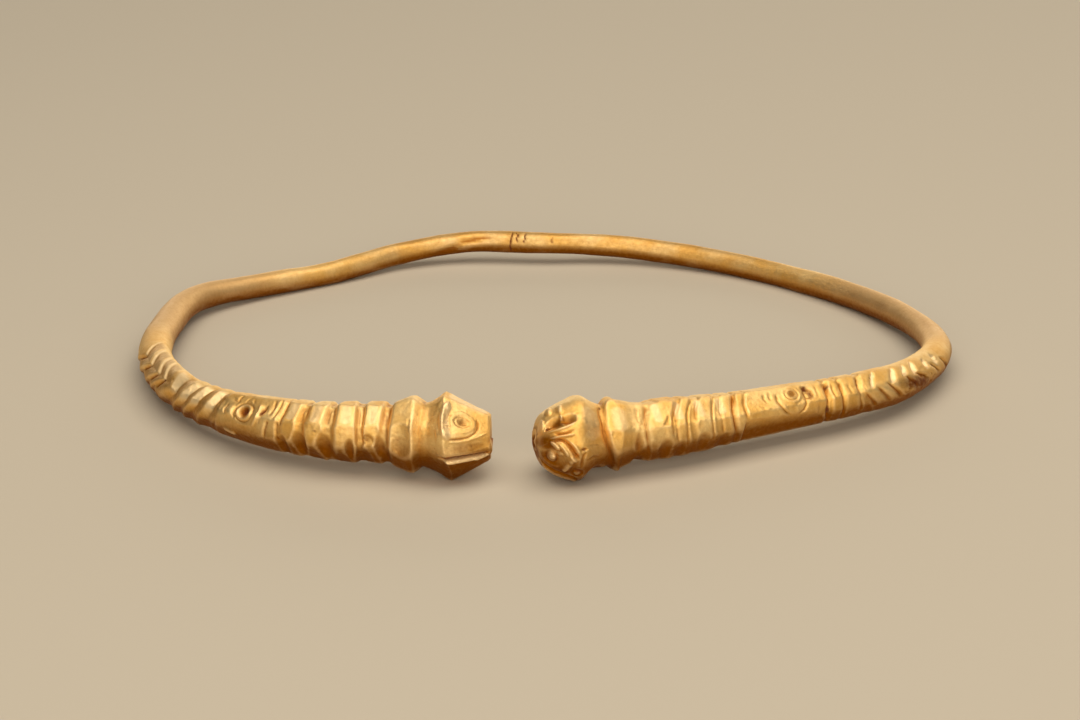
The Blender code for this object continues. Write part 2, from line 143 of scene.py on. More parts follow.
NECK = 5.0                # the head's own section ends here
NECK_LENGTH = 0.8
SOFTENING = (-1, -0.5, 0, 0.5, 1)       # the places that a softened thickness is the mean of
SLANT_REACH = 80          # a V's wings end this far round from its point

NOTCH_DEEPEST = 60        # direction
NOTCH_LEAST = 0.24        # share of the depth left on the side facing away
NOTCH_FULLNESS = 1.5      # above 1 a notch has a level floor

SCALE_MIDDLE = 20         # the scales are whole round this direction, and shallower towards the wrist
SCALE_REACH = 100
SCALE_FADE = 40
SCALE_LEAST = 0.3

FACE_MIDDLE = 34          # painted highlight on the scales' faces, strongest round this direction from the V's point
FACE_REACH = 50
FACE_FADE = 24
FACE_BORDER = 0.14
GROUND_MIDDLE = 10        # painted shade on the ground between the scales, strongest round this direction
GROUND_REACH = 80
GROUND_FADE = 30
GROUND_BORDER = 0.3
GROUND_SHADE = 0.42


def rise(x):
    """Smooth step: 0 up to x = 0, 1 from x = 1."""
    x = np.clip(x, 0, 1)
    return x * x * (3 - 2 * x)


def column(rows, number, at):
    """One column of a table read at some distances along the rod."""
    return np.interp(at, [row[0] for row in rows], [row[number] for row in rows])


def turned(angle, middle):
    """Angle measured from a middle direction, between -180 and 180."""
    return (angle - middle + 180) % 360 - 180


def smooth_route(points, steps=40):
    """Smooth curve through the points (Catmull-Rom), and the distance along it."""
    points = np.array(points)
    points = np.vstack([2 * points[0] - points[1], points, 2 * points[-1] - points[-2]])
    curve = [points[1]]
    for before, start, end, after in zip(points, points[1:], points[2:], points[3:]):
        for t in np.linspace(0, 1, steps + 1)[1:]:
            straight = 2 * start + (end - before) * t
            bend = (2 * before - 5 * start + 4 * end - after) * t ** 2
            twist = (3 * start - before - 3 * end + after) * t ** 3
            curve.append((straight + bend + twist) / 2)
    curve = np.array(curve)
    lengths = np.linalg.norm(np.diff(curve, axis=0), axis=1)
    return curve, np.concatenate([[0], np.cumsum(lengths)])


CURVE, DISTANCE = smooth_route(ROUTE)
LENGTH = DISTANCE[-1]
RUN_STEP = 0.3            # the rod's run at a place is measured between points this far before and after it


def on_route(distance):
    """Point of the axis at a distance from the left head's face, run on straight past both ends."""
    inside = np.clip(distance, 0, LENGTH)
    point = np.stack([np.interp(inside, DISTANCE, CURVE[:, axis]) for axis in range(3)], axis=-1)
    first = (CURVE[1] - CURVE[0]) / DISTANCE[1]
    last = (CURVE[-1] - CURVE[-2]) / (LENGTH - DISTANCE[-2])
    past = (distance - inside)[..., None]
    return point + past * np.where(past < 0, first, last)


def bend(distance, angle, radius):
    """Places on the bent rod, for distances along it, directions around it and distances from its axis."""
    point = on_route(distance)
    along = on_route(distance + RUN_STEP) - on_route(distance - RUN_STEP)
    along /= np.linalg.norm(along, axis=-1, keepdims=True)
    outwards = np.cross((0, 0, 1), along)
    outwards /= np.linalg.norm(outwards, axis=-1, keepdims=True)
    upwards = np.cross(along, outwards)
    turn = np.radians(angle)
    offset = np.cos(turn)[..., None] * outwards + np.sin(turn)[..., None] * upwards
    return point + radius[..., None] * offset


def sided(angle, sides, crispness):
    """Distance from the axis to a flat-sided bar of unit half thickness, with softened edges."""
    total = np.zeros_like(angle)
    for direction, distance in sides:
        facing = np.cos(np.radians(angle - direction))
        total += (np.maximum(facing, 0) / distance) ** crispness
    return total ** (-1 / crispness)


def slanted(distance, around, rows):
    """How far the rings slant into Vs, as degrees of the way round. The directions are from the V's point."""
    above = column(rows, 2, distance)
    below = column(rows, 3, distance)
    wing = np.where(around > 0, above, below) * np.minimum(np.abs(around), SLANT_REACH)
    hidden = (np.abs(around) - SLANT_REACH) / (180 - SLANT_REACH)
    return wing + np.clip(hidden, 0, 1) * ((above + below) / 2 * SLANT_REACH - wing)


def notches(distance, angle, rows):
    """Depth of the notches across the bar. They are deepest on the upper outer side."""
    facing = (1 + np.cos(np.radians(angle - NOTCH_DEEPEST))) / 2
    side = NOTCH_LEAST + (1 - NOTCH_LEAST) * facing
    total = np.zeros_like(distance)
    for at, width, depth in rows:
        total += depth * side * rise(NOTCH_FULLNESS - NOTCH_FULLNESS * np.abs(distance - at) / (width / 2))
    return total


def scales(distance, angle, rows):
    """Depth of the scales: the ground falls gently, then rises in a crisp face towards the head."""
    total = np.zeros_like(distance)
    for at, face, fall, depth in rows:
        before = distance - at + face / 2
        total += depth * np.clip(np.where(before < 0, 1 + before / fall, 1 - before / face), 0, 1)
    whole = rise((SCALE_REACH - np.abs(turned(angle, SCALE_MIDDLE))) / SCALE_FADE)
    return total * (SCALE_LEAST + (1 - SCALE_LEAST) * whole)


# ---------------------------------------------------------------------------------- the graver's marks

FAR = 1e9
THINNEST = 0.02           # a stroke thins at its ends to the square root of this
SOLID_LINE = 1.6          # a line of painted highlight or of soil is solid in the middle of its width
SOLID_LEAF = 4            # a leaf's painted highlight reaches nearly to its sides
END_SLOPE = 1.5           # how steeply a flat side runs out past its ends
GOUGE_CURVE = 1.1         # how fast a gouge's cut runs out, for its bite
LEAST_FACING = 0.3        # a plane cut reaches no further round than this cosine
LUMP_FULLNESS = 0.7       # below 1 a lump has steep sides and a broad top
DISC_BORDER = 0.16        # slope round a flat-topped disc, as a share of its half size
SOIL_RIM = 1.25           # where soil, or a stain with its painted shade, ends, as a share of its oval's half size
PIT_SOIL_RIM = 1.3
STAIN_AND_SHADE_RIM = 1.4
PIT_LENGTHS = (0.6, 1.6)  # shares of the size of a patch's pits, from least to most, as the next two are
PIT_WIDTHS = (0.5, 1.1)
PIT_DEPTHS = (0.5, 1)
PIT_SOIL = (0, 0.45)      # strength of the soil in a pit


class Skin:
    """The surface of one arm as it is worked: a distance, direction and radius for each of its places."""

    def __init__(self, distance, angle, arm):
        self.thickness = arm.thickness
        self.angle = angle
        reach = column(arm.softness, 1, distance)
        near = [column(arm.thickness, 1, np.maximum(distance + step * reach, 0)) for step in SOFTENING]
        half = sum(near) / (2 * len(SOFTENING))
        crisp = column(arm.crispness, 1, distance)
        head = 1 - rise((distance - NECK) / NECK_LENGTH)
        section = sided(angle, arm.sides, crisp)
        section += head * (sided(angle, arm.head_sides, crisp) - section)
        around = turned(angle, column(arm.slant, 1, distance))
        self.along = distance + np.radians(slanted(distance, around, arm.slant)) * half
        self.radius = half * section
        self.radius -= notches(distance, angle, arm.notches)
        self.radius -= scales(distance, angle, arm.scales)
        self.push, self.grime, self.stain_and_shade, self.wear_and_highlight = (np.zeros_like(distance) for _ in range(4))
        self.colour_scales(distance, around, arm.scales)

    def colour_scales(self, distance, around, rows):
        """The scales' faces, turned towards the light, get a painted highlight, and the ground before them
        painted shade.
        """
        for at, face, fall, _ in rows:
            inside = rise((face / 2 - np.abs(distance - at)) / FACE_BORDER)
            facing = rise((FACE_REACH - np.abs(around - FACE_MIDDLE)) / FACE_FADE)
            self.wear_and_highlight = np.maximum(self.wear_and_highlight, inside * facing)
            inside = rise(0.5 + (fall / 2 - np.abs(at - (face + fall) / 2 - distance)) / GROUND_BORDER)
            facing = rise((GROUND_REACH - np.abs(around - GROUND_MIDDLE)) / GROUND_FADE)
            self.stain_and_shade = np.maximum(self.stain_and_shade, GROUND_SHADE * inside * facing)

    def offset(self, at, angle):
        """How far each place is from one of them, along the rod and round it, in millimetres."""
        half = float(column(self.thickness, 1, at)) / 2
        return self.along - at, np.radians(turned(self.angle, angle)) * half

    def lay_out(self, path, middle):
        """How far each place, and each point of a path, is from a middle point."""
        half = float(column(self.thickness, 1, middle[0])) / 2
        x, y = self.offset(*middle)
        return x, y, [(at - middle[0], math.radians(angle - middle[1]) * half) for at, angle in path]

    def oval(self, at, angle, length, width, turn):
        """0 at the middle of an oval on the skin, 1 on its rim, more outside."""
        x, y = self.offset(at, angle)
        turn = math.radians(turn)
        lengthwise = x * math.cos(turn) + y * math.sin(turn)
        crosswise = y * math.cos(turn) - x * math.sin(turn)
        return np.hypot(lengthwise / (length / 2), crosswise / (width / 2))

    def stroke(self, path, width, lean, taper):
        """1 on a stroke's line, 0 at its sides and outside. It thins towards its ends. A positive lean widens
        it on the left of its run, with the distance drawn to the right and the direction upwards."""
        x, y, spots = self.lay_out(path, path[len(path) // 2])
        if len(spots) > 2:
            spots = smooth_route(spots, steps=4)[0].tolist()
        lengths = [math.dist(start, end) for start, end in zip(spots, spots[1:])]
        nearest = np.full_like(x, FAR)
        run = np.zeros_like(x)
        side = np.ones_like(x)
        before = 0
        for (start_x, start_y), (end_x, end_y), length in zip(spots, spots[1:], lengths):
            step_x = (end_x - start_x) / length
            step_y = (end_y - start_y) / length
            share = np.clip((x - start_x) * step_x + (y - start_y) * step_y, 0, length)
            away_x = x - start_x - share * step_x
            away_y = y - start_y - share * step_y
            away = np.hypot(away_x, away_y)
            closer = away < nearest
            nearest = np.where(closer, away, nearest)
            run = np.where(closer, (before + share) / sum(lengths), run)
            side = np.where(closer, np.sign(step_x * away_y - step_y * away_x), side)
            before += length
        from_end = np.minimum(run, 1 - run)
        ends = np.sqrt(np.clip(from_end / taper, THINNEST, 1))
        return np.clip(1 - nearest / (width / 2 * ends * (1 + lean * side)), 0, 1) * ends

    def cut(self, path, width, depth, lean=0, taper=0.25):
        """A stroke of the graver."""
        self.radius -= depth * self.stroke(path, width, lean, taper)

    def leaf(self, path, width, depth, lean=0, taper=0.25):
        """A deep stroke of the graver whose wide face gets a painted highlight."""
        stroke = self.stroke(path, width, lean, taper)
        self.radius -= depth * stroke
        self.wear_and_highlight = np.maximum(self.wear_and_highlight, rise(SOLID_LEAF * stroke))

    def ridge(self, path, width, height, taper=0.2):
        """Metal left standing in a line."""
        self.radius += height * rise(self.stroke(path, width, 0, taper))

    def highlight_rub(self, path, width, strength, taper=0.2):
        """A line painted bright: a painted highlight, partly wear."""
        self.wear_and_highlight = np.maximum(self.wear_and_highlight, strength * rise(SOLID_LINE * self.stroke(path, width, 0, taper)))

    def fill(self, path, width, strength, taper=0.15):
        """Reddish-brown soil left along a groove."""
        self.grime = np.maximum(self.grime, strength * rise(SOLID_LINE * self.stroke(path, width, 0, taper)))

    def plane(self, level, angle):
        """Everything beyond a level, measured towards one direction, is cut off."""
        facing = np.cos(np.radians(self.angle - angle))
        beyond = np.where(facing > LEAST_FACING, level / np.maximum(facing, LEAST_FACING), FAR)
        self.radius = np.minimum(self.radius, beyond)

    def flat(self, at, angle, length, bite, tilt=0):
        """A flat side cut in, deepest at its middle. The tilt is how much it climbs along the rod."""
        x, y = self.offset(at, angle)
        nearest = np.argmin(np.hypot(x, y))
        past_end = np.maximum(np.abs(x) - length / 2, 0)
        self.plane(self.radius[nearest] - bite + tilt * x + END_SLOPE * past_end, angle)

    def scallop(self, at, angle, length, bite):
        """A cut made by a round gouge drawn round the rod."""
        x, y = self.offset(at, angle)
        nearest = np.argmin(np.hypot(x, y))
        self.plane(self.radius[nearest] - bite + GOUGE_CURVE * bite * (2 * x / length) ** 2, angle)

    def scoop(self, at, angle, length, width, depth, turn=0):
        """A round-bottomed hollow with a crisp rim."""
        self.radius -= depth * np.clip(1 - self.oval(at, angle, length, width, turn) ** 2, 0, 1)

    def knob(self, at, angle, length, width, height, turn=0):
        """A rounded lump."""
        inside = np.clip(1 - self.oval(at, angle, length, width, turn) ** 2, 0, 1)
        self.radius += height * inside ** LUMP_FULLNESS

    def disc(self, at, angle, length, width, height):
        """A flat-topped raised oval."""
        self.radius += height * rise((1 - self.oval(at, angle, length, width, 0)) / DISC_BORDER)

    def ring(self, at, angle, length, width, groove, depth, turn=0):
        """A groove round an oval."""
        away = np.abs(self.oval(at, angle, length, width, turn) - 1) * (length + width) / 4
        self.radius -= depth * np.clip(1 - away / (groove / 2), 0, 1)

    def recess(self, corners, depth, soft):
        """A sunk panel with straight sides. Its corners go round it the same way as the hands of a clock seen
        with the head on the right."""
        x, y, spots = self.lay_out(corners, corners[0])
        inside = np.full_like(x, FAR)
        for (start_x, start_y), (end_x, end_y) in zip(spots, spots[1:] + spots[:1]):
            length = math.hypot(end_x - start_x, end_y - start_y)
            across = (end_x - start_x) * (y - start_y) - (end_y - start_y) * (x - start_x)
            inside = np.minimum(inside, across / length)
        self.radius -= depth * np.clip(inside / soft, 0, 1)

    def bulge(self, at, angle, length, width, height):
        """Metal pushed out past the blunt end, or in where the height is negative."""
        self.push += height * rise(1 - self.oval(at, angle, length, width, 0))

    def pits(self, nearest, furthest, lowest, highest, number, size, depth, seed):
        """Small pits strewn over a patch, some with soil in them."""
        chance = np.random.default_rng(seed)
        for _ in range(number):
            at = chance.uniform(nearest, furthest)
            angle = chance.uniform(lowest, highest)
            length = size * chance.uniform(*PIT_LENGTHS)
            width = size * chance.uniform(*PIT_WIDTHS)
            oval = self.oval(at, angle, length, width, chance.uniform(0, 180))
            self.radius -= depth * chance.uniform(*PIT_DEPTHS) * np.clip(1 - oval ** 2, 0, 1)
            self.grime = np.maximum(self.grime, chance.uniform(*PIT_SOIL) * rise(PIT_SOIL_RIM - oval))

    def dirt(self, at, angle, length, width, strength, turn=0):
        """Reddish-brown soil left in a hollow."""
        oval = self.oval(at, angle, length, width, turn)
        self.grime = np.maximum(self.grime, strength * rise(SOIL_RIM - oval))

    def stain_with_shade(self, at, angle, length, width, strength, turn=0):
        """Darker orange: the skin that wear didn't reach, and painted shade in hollows, grooves and on faces
        turned down.
        """
        oval = self.oval(at, angle, length, width, turn)
        self.stain_and_shade = np.maximum(self.stain_and_shade, strength * rise(STAIN_AND_SHADE_RIM - oval))


BLOCK_SIDES = (0, 2, 3, 4, 5, 6, 7)     # the upper outer side, number 1, stays whole
FIRST_SIDE = 10           # direction
FILE_WANDER = 6           # how far a stroke of the file strays, in degrees
FILE_BITE = 0.08
FILE_TILT = 0.08
BLOCK_TOP = (34, 56, 80)  # directions across a block's top, which gets a painted highlight, partly wear
BLOCK_HIGHLIGHT = 0.7


def file_blocks(skin, middles, length, seed):
    """Uneven flat sides on the blocks between notches, as single strokes of a file leave them, and a painted
    highlight on the tops, partly wear."""
    chance = np.random.default_rng(seed)
    for at in middles:
        for side in BLOCK_SIDES:
            angle = FIRST_SIDE + 45 * side + chance.uniform(-FILE_WANDER, FILE_WANDER)
            skin.flat(at, angle, length, chance.uniform(0, FILE_BITE), chance.uniform(-FILE_TILT, FILE_TILT))
        skin.highlight_rub([(at, angle) for angle in BLOCK_TOP], length, BLOCK_HIGHLIGHT, taper=0.1)


# ------------------------------------------------------------------------------------ the left arm

def carve_left_eye(skin):
    """The almond panel of the eye: rim, pitted recess, raised round, its ringed dimple, and the groove round
    it. The rim band and the flat above it get a painted highlight, and the dimple painted shade."""
    skin.ridge(((3.5, 78), (3.75, 64), (3.95, 49), (3.8, 34), (3.5, 22), (3.3, 14)), 0.8, 0.2, taper=0.12)
    skin.highlight_rub(((3.5, 78), (3.7, 64), (3.8, 49), (3.65, 34), (3.45, 22), (3.3, 14)), 0.95, 0.85, taper=0.1)
    skin.cut(((3.1, 72), (3.35, 60), (3.4, 47), (3.2, 32), (3.0, 22)), 0.26, 0.1, taper=0.2)
    skin.disc(2.3, 46, 2.3, 2.5, 0.06)
    groove = ((3.3, 16), (2.5, 17), (1.8, 20), (1.35, 27), (1.15, 37), (1.1, 50))
    skin.cut(groove + ((1.2, 62),), 0.26, 0.2, lean=0.4, taper=0.12)
    skin.fill(groove, 0.2, 0.5)
    skin.scoop(2.35, 47, 1.35, 1.4, 0.22)
    skin.ring(2.35, 47, 1.2, 1.15, 0.2, 0.1)
    skin.scoop(2.3, 45, 0.7, 0.7, 0.1)
    skin.pits(2.0, 2.6, 40, 52, 5, 0.16, 0.06, seed=2)
    skin.ridge(((0.15, 30), (1.2, 18), (2.2, 12.5), (3.3, 12)), 0.34, 0.07, taper=0.1)
    skin.pits(3.3, 3.9, 26, 68, 20, 0.19, 0.1, seed=3)
    # painted highlight on the head's top facet
    skin.highlight_rub(((0.2, 94), (1.9, 96), (3.7, 96)), 2.3, 0.85, taper=0.1)
    skin.fill(((3.15, 60), (3.25, 47), (3.1, 32)), 0.16, 0.45)
    # painted shade inside the dimple
    skin.stain_with_shade(2.35, 48, 0.9, 1.0, 0.5)
    skin.dirt(2.25, 44, 0.6, 0.5, 0.3)
    skin.dirt(3.55, 41, 0.3, 0.5, 0.5)


def carve_mouth(skin):
    """A groove under the flat band below the eye, and the lip below it."""
    skin.scoop(1.8, 6, 4.2, 1.3, 0.1)
    # painted shade on the band below the eye, which faces down
    skin.stain_with_shade(1.8, 0, 3.6, 1.0, 0.65)
    skin.cut(((0.0, -23), (0.8, -19), (1.6, -15.5), (2.6, -12.5), (3.6, -11), (4.2, -12)), 0.5, 0.55,
             lean=-0.3, taper=0.2)
    # painted shade along the groove's upper wall, which faces down
    skin.stain_with_shade(1.8, -16, 4.0, 0.4, 1.0, turn=10)
    skin.fill(((0.1, -25), (0.8, -21), (1.6, -17.5), (2.6, -14.5), (3.6, -13), (4.1, -14)), 0.26, 0.7)
    skin.ridge(((0.0, -33), (0.9, -28), (1.8, -23.5), (2.8, -20), (3.8, -18)), 0.62, 0.4)
    # painted highlight on the lip, which faces up
    skin.highlight_rub(((0.0, -31), (0.9, -26), (1.8, -21.5), (2.8, -18), (3.8, -16)), 0.5, 0.8)
    skin.knob(3.35, -17, 0.5, 0.3, 0.08, turn=15)
    skin.knob(1.1, -26, 0.6, 0.3, 0.07, turn=20)
    skin.scoop(3.55, -18.5, 0.4, 0.2, 0.16, turn=15)
    skin.scoop(2.7, -19.5, 0.3, 0.16, 0.1, turn=15)
    skin.dirt(3.45, -18.5, 0.55, 0.2, 1.0)
    skin.bulge(0.0, -18, 1.8, 2.1, 0.2)
    skin.knob(0.05, -20, 0.6, 1.8, 0.1)
    skin.pits(0.4, 3.4, -2, 14, 12, 0.2, 0.03, seed=4)


def carve_left_collar(skin):
    """The pitted neck and the sharp-edged collar, with a torn edge and a scooped lower side."""
    skin.pits(4.3, 5.7, -2, 70, 26, 0.16, 0.05, seed=5)
    skin.ridge(((5.85, 2), (5.83, 30), (5.87, 78)), 0.2, 0.12, taper=0.15)
    skin.ridge(((6.5, 22), (6.45, 40), (6.6, 56), (6.6, 68)), 0.34, 0.05, taper=0.3)
    skin.highlight_rub(((6.45, 10), (6.45, 28), (6.45, 42), (6.5, 56), (6.5, 68)), 0.3, 0.6)
    skin.cut(((6.62, 17), (6.64, 30), (6.68, 45)), 0.18, 0.2, taper=0.3)
    skin.dirt(6.62, 30, 0.16, 1.2, 0.9)
    skin.scallop(7.65, 7, 2.0, 0.36)
    # painted shade on the scallop, which faces out and down
    skin.stain_with_shade(7.7, 2, 1.5, 1.5, 0.4)
    skin.pits(6.9, 8.3, -14, 22, 34, 0.26, 0.04, seed=6)
    skin.flat(7.7, 56, 2.4, 0.06, tilt=-0.25)


def carve_left_blocks(skin):
    """Blocks between the notches: scooped below, with a raised line on the edge of each notch."""
    skin.scallop(9.15, -10, 1.1, 0.42)
    skin.scoop(10.3, 3, 1.35, 1.3, 0.2)
    skin.ring(10.35, 2, 1.1, 0.9, 0.2, 0.08, turn=20)
    skin.dirt(10.5, 10, 0.9, 0.7, 0.55)
    skin.pits(9.6, 11.0, -10, 18, 16, 0.22, 0.07, seed=7)
    for at, angle, length, bite in (
            (12.15, -20, 0.8, 0.34), (13.85, -17, 1.15, 0.42), (16.0, -19, 1.2, 0.4), (10.9, -42, 1.3, 0.16),
            (13.0, -46, 1.4, 0.16), (15.1, -44, 1.5, 0.16), (17.7, -30, 1.0, 0.22)):
        skin.scallop(at, angle, length, bite)
    for path, width, height in (
            (((11.15, 22), (11.1, 50), (11.2, 80)), 0.24, 0.12),
            (((13.45, 30), (13.5, 50), (13.55, 74)), 0.26, 0.13),
            (((15.65, 28), (15.75, 45), (15.95, 66)), 0.26, 0.12),
            (((8.6, 30), (8.65, 50), (8.9, 76)), 0.24, 0.07)):
        skin.ridge(path, width, height)
    skin.cut(((15.4, 20), (15.3, 40), (15.5, 60)), 0.18, 0.09, taper=0.1)
    skin.dirt(14.6, 19, 0.6, 0.3, 0.7)
    skin.pits(13.9, 15.4, 6, 26, 10, 0.18, 0.05, seed=8)
    skin.pits(9.2, 17.4, 30, 76, 60, 0.18, 0.04, seed=9)


def carve_left_ring(skin):
    """The deep ring and dot, with fine lines and small leaves on both sides of it."""
    skin.cut(((17.75, 20), (17.7, 55), (17.75, 90)), 0.34, 0.2, taper=0.1)
    skin.ridge(((18.0, 26), (17.95, 60), (18.0, 88)), 0.24, 0.1)
    skin.cut(((18.5, 30), (18.35, 60), (18.4, 86)), 0.28, 0.18)
    skin.cut(((19.0, 36), (18.85, 60), (19.1, 80)), 0.28, 0.16)
    skin.ridge(((18.7, 32), (18.6, 60), (18.8, 80)), 0.2, 0.08)
    skin.cut(((18.05, -18), (18.15, 5), (18.1, 28)), 0.3, 0.2, taper=0.1)
    skin.cut(((19.3, -14), (19.2, 8), (18.95, 28)), 0.34, 0.24, taper=0.15)
    skin.flat(18.65, 8, 0.8, 0.05, tilt=-0.1)
    skin.scoop(19.75, 48, 0.55, 1.4, 0.24, turn=14)
    skin.dirt(19.75, 44, 0.45, 1.1, 1.0, turn=14)
    skin.ridge(((20.65, 4), (20.4, 14), (20.15, 30), (20.1, 48), (20.4, 66)), 0.4, 0.2, taper=0.15)
    skin.cut(((19.9, 12), (19.75, 26), (19.6, 40)), 0.22, 0.1)
    skin.ring(21.7, 36, 1.95, 1.85, 0.26, 0.16)
    rim = ((21.0, 36), (21.2, 49), (21.7, 54), (22.2, 49), (22.4, 36), (22.2, 23), (21.7, 18), (21.2, 23))
    skin.ridge(rim + ((21.0, 35),), 0.22, 0.08, taper=0.001)
    skin.scoop(21.7, 36, 1.2, 1.2, 0.4)
    # painted shade in the bowl of the ring and dot
    skin.stain_with_shade(21.7, 37, 1.1, 1.1, 1.0)
    skin.dirt(21.65, 38, 0.95, 0.95, 1.0)
    skin.dirt(21.6, 64, 0.5, 0.8, 0.5)
    skin.pits(21.3, 22.0, 32, 46, 6, 0.2, 0.07, seed=10)
    skin.cut(((22.1, 60), (21.8, 74), (21.3, 88)), 0.22, 0.14)
    skin.cut(((21.0, 60), (21.4, 76)), 0.2, 0.12)
    skin.cut(((22.75, 58), (22.95, 70), (22.6, 80)), 0.26, 0.2)
    skin.cut(((23.6, 66), (23.0, 60), (22.75, 56)), 0.22, 0.14)
    skin.cut(((22.55, 14), (22.8, 26), (22.75, 44)), 0.26, 0.2)
    skin.knob(23.25, 34, 0.75, 1.3, 0.12)
    skin.cut(((23.75, 20), (23.95, 32), (23.75, 50)), 0.32, 0.24)
    skin.cut(((24.75, 20), (24.85, 45), (24.65, 70)), 0.26, 0.16)
    skin.scoop(24.3, 40, 0.7, 1.7, 0.1)
    skin.ridge(((22.5, -27), (23.1, -21), (23.9, -15)), 0.55, 0.26)
    skin.scoop(21.8, -8, 4.4, 1.0, 0.12)


def carve_left_vs(skin):
    """A thin line before the Vs, and the grooves of the Vs' lower wings."""
    skin.cut(((32.8, 46), (33.16, 66), (33.89, 92)), 0.36, 0.14, lean=-0.4)
    for path, depth in (
            (((35.63, 0), (34.96, 20), (34.2, 42)), 0.28),
            (((37.8, 4), (37.0, 24), (36.2, 44)), 0.26),
            (((40.52, 10), (39.61, 28), (38.82, 45)), 0.24),
            (((43.24, 14), (42.48, 30), (41.54, 48)), 0.22)):
        skin.cut(path, 0.5, depth, lean=0.4)
    skin.cut(((24.9, -2), (25.4, -22), (25.9, -40)), 0.4, 0.16)
    skin.dirt(34.25, 40, 0.6, 0.35, 1.0, turn=-40)
    skin.dirt(36.31, 44, 0.5, 0.3, 0.5, turn=-40)


def crease_wire(skin):
    """Long creases along the wire at the back."""
    skin.cut(((91.0, 232), (92.8, 202), (94.6, 168), (96.4, 150), (98.2, 142)), 0.7, 0.26, lean=-0.4)
    skin.cut(((91.0, 250), (93.0, 226), (95.2, 204)), 0.5, 0.14)
    skin.stain_with_shade(94.0, 206, 6, 0.8, 0.6, turn=-14)


# Cracks across the wire at the back: distance, first and last direction, strength.
CRACKS = ((100.0, 92, 235, 1.0), (100.62, 97, 168, 0.9), (101.4, 95, 172, 0.9), (104.2, 128, 166, 0.55))
CRACK_TURNS = 7           # points of a crack's zigzag
CRACK_WANDER = 0.13
CRACK_WIDTH = 0.26
CRACK_DEPTH = 0.1
CRACK_SOIL = 1.5          # how fully the soil fills a crack's width


def crack_wire(skin):
    """Short zigzag cracks across the wire, with soil in them."""
    chance = np.random.default_rng(5)
    for at, start, end, strength in CRACKS:
        path = [(at + chance.uniform(-CRACK_WANDER, CRACK_WANDER), angle)
                for angle in np.linspace(start, end, CRACK_TURNS)]
        stroke = skin.stroke(path, CRACK_WIDTH, lean=0, taper=0.1)
        skin.radius -= CRACK_DEPTH * strength * stroke
        skin.grime = np.maximum(skin.grime, strength * rise(CRACK_SOIL * stroke))


def work_left_arm(skin):
    """Everything done to the left arm, in the smith's order."""
    file_blocks(skin, (10.0, 12.4, 14.75, 16.95), 1.2, seed=21)
    carve_left_eye(skin)
    carve_mouth(skin)
    carve_left_collar(skin)
    carve_left_blocks(skin)
    # the pitted lower side
    skin.pits(8.6, 20.0, -55, 6, 60, 0.34, 0.05, seed=19)
    skin.pits(24.5, 44.0, -50, 0, 60, 0.32, 0.05, seed=20)
    carve_left_ring(skin)
    carve_left_vs(skin)
    crease_wire(skin)
    crack_wire(skin)


# ----------------------------------------------------------------------------------- the right arm

def carve_muzzle(skin):
    """The head's uneven blunt end, the hollows behind the muzzle and the lumps above them."""
    skin.bulge(0.0, 80, 1.8, 2.2, -0.2)
    skin.bulge(0.0, -58, 1.8, 2.0, -0.16)
    skin.scoop(1.5, 49, 1.45, 1.3, 0.52)
    skin.scoop(2.6, 50, 1.15, 1.2, 0.48)
    # painted shade in the hollows behind the muzzle
    skin.stain_with_shade(1.95, 49, 2.0, 0.9, 0.9)
    skin.ridge(((2.08, 64), (2.1, 52)), 0.3, 0.16)
    skin.knob(0.35, 58, 0.75, 1.3, 0.3)
    # painted highlights on the tops of the lumps
    skin.highlight_rub(((0.35, 46), (0.35, 70)), 0.8, 0.7)
    skin.knob(1.22, 84, 0.6, 1.3, 0.26)
    skin.highlight_rub(((1.2, 76), (1.2, 94)), 0.5, 0.6)
    skin.knob(2.1, 76, 0.55, 1.4, 0.24)
    skin.highlight_rub(((2.1, 66), (2.1, 88)), 0.45, 0.6)
    skin.cut(((0.72, 38), (1.0, 42), (1.3, 46)), 0.36, 0.36, taper=0.3)
    skin.dirt(0.95, 42, 0.5, 0.35, 1.0, turn=15)
    skin.ridge(((0.7, 34), (1.6, 36), (2.4, 39), (3.1, 45)), 0.36, 0.2, taper=0.15)
    skin.highlight_rub(((1.5, 35), (2.4, 38.5), (3.1, 45)), 0.3, 0.8)


def carve_brow(skin):
    """Vs and a brow in front of the second eye."""
    skin.cut(((1.4, 31), (2.2, 29), (2.9, 34)), 0.3, 0.22)
    upper = ((1.1, 23), (1.9, 25.5), (2.9, 27))
    skin.ridge(upper, 0.36, 0.2)
    skin.highlight_rub(upper, 0.26, 0.6)
    skin.cut(((1.4, 18), (1.9, 20), (2.3, 15), (2.6, 7), (2.85, -2), (3.15, -9)), 0.4, 0.32, taper=0.15)
    brow = ((1.1, 18), (1.45, 11), (1.8, 2))
    skin.ridge(brow, 0.55, 0.3)
    skin.highlight_rub(brow, 0.4, 0.7)
    skin.ridge(((1.7, 14), (2.1, 5), (2.4, -6)), 0.45, 0.22)
    skin.ridge(((2.5, 17), (2.9, 8), (3.15, -3)), 0.4, 0.16)
    skin.stain_with_shade(0.8, 14, 1.9, 1.7, 1.0)


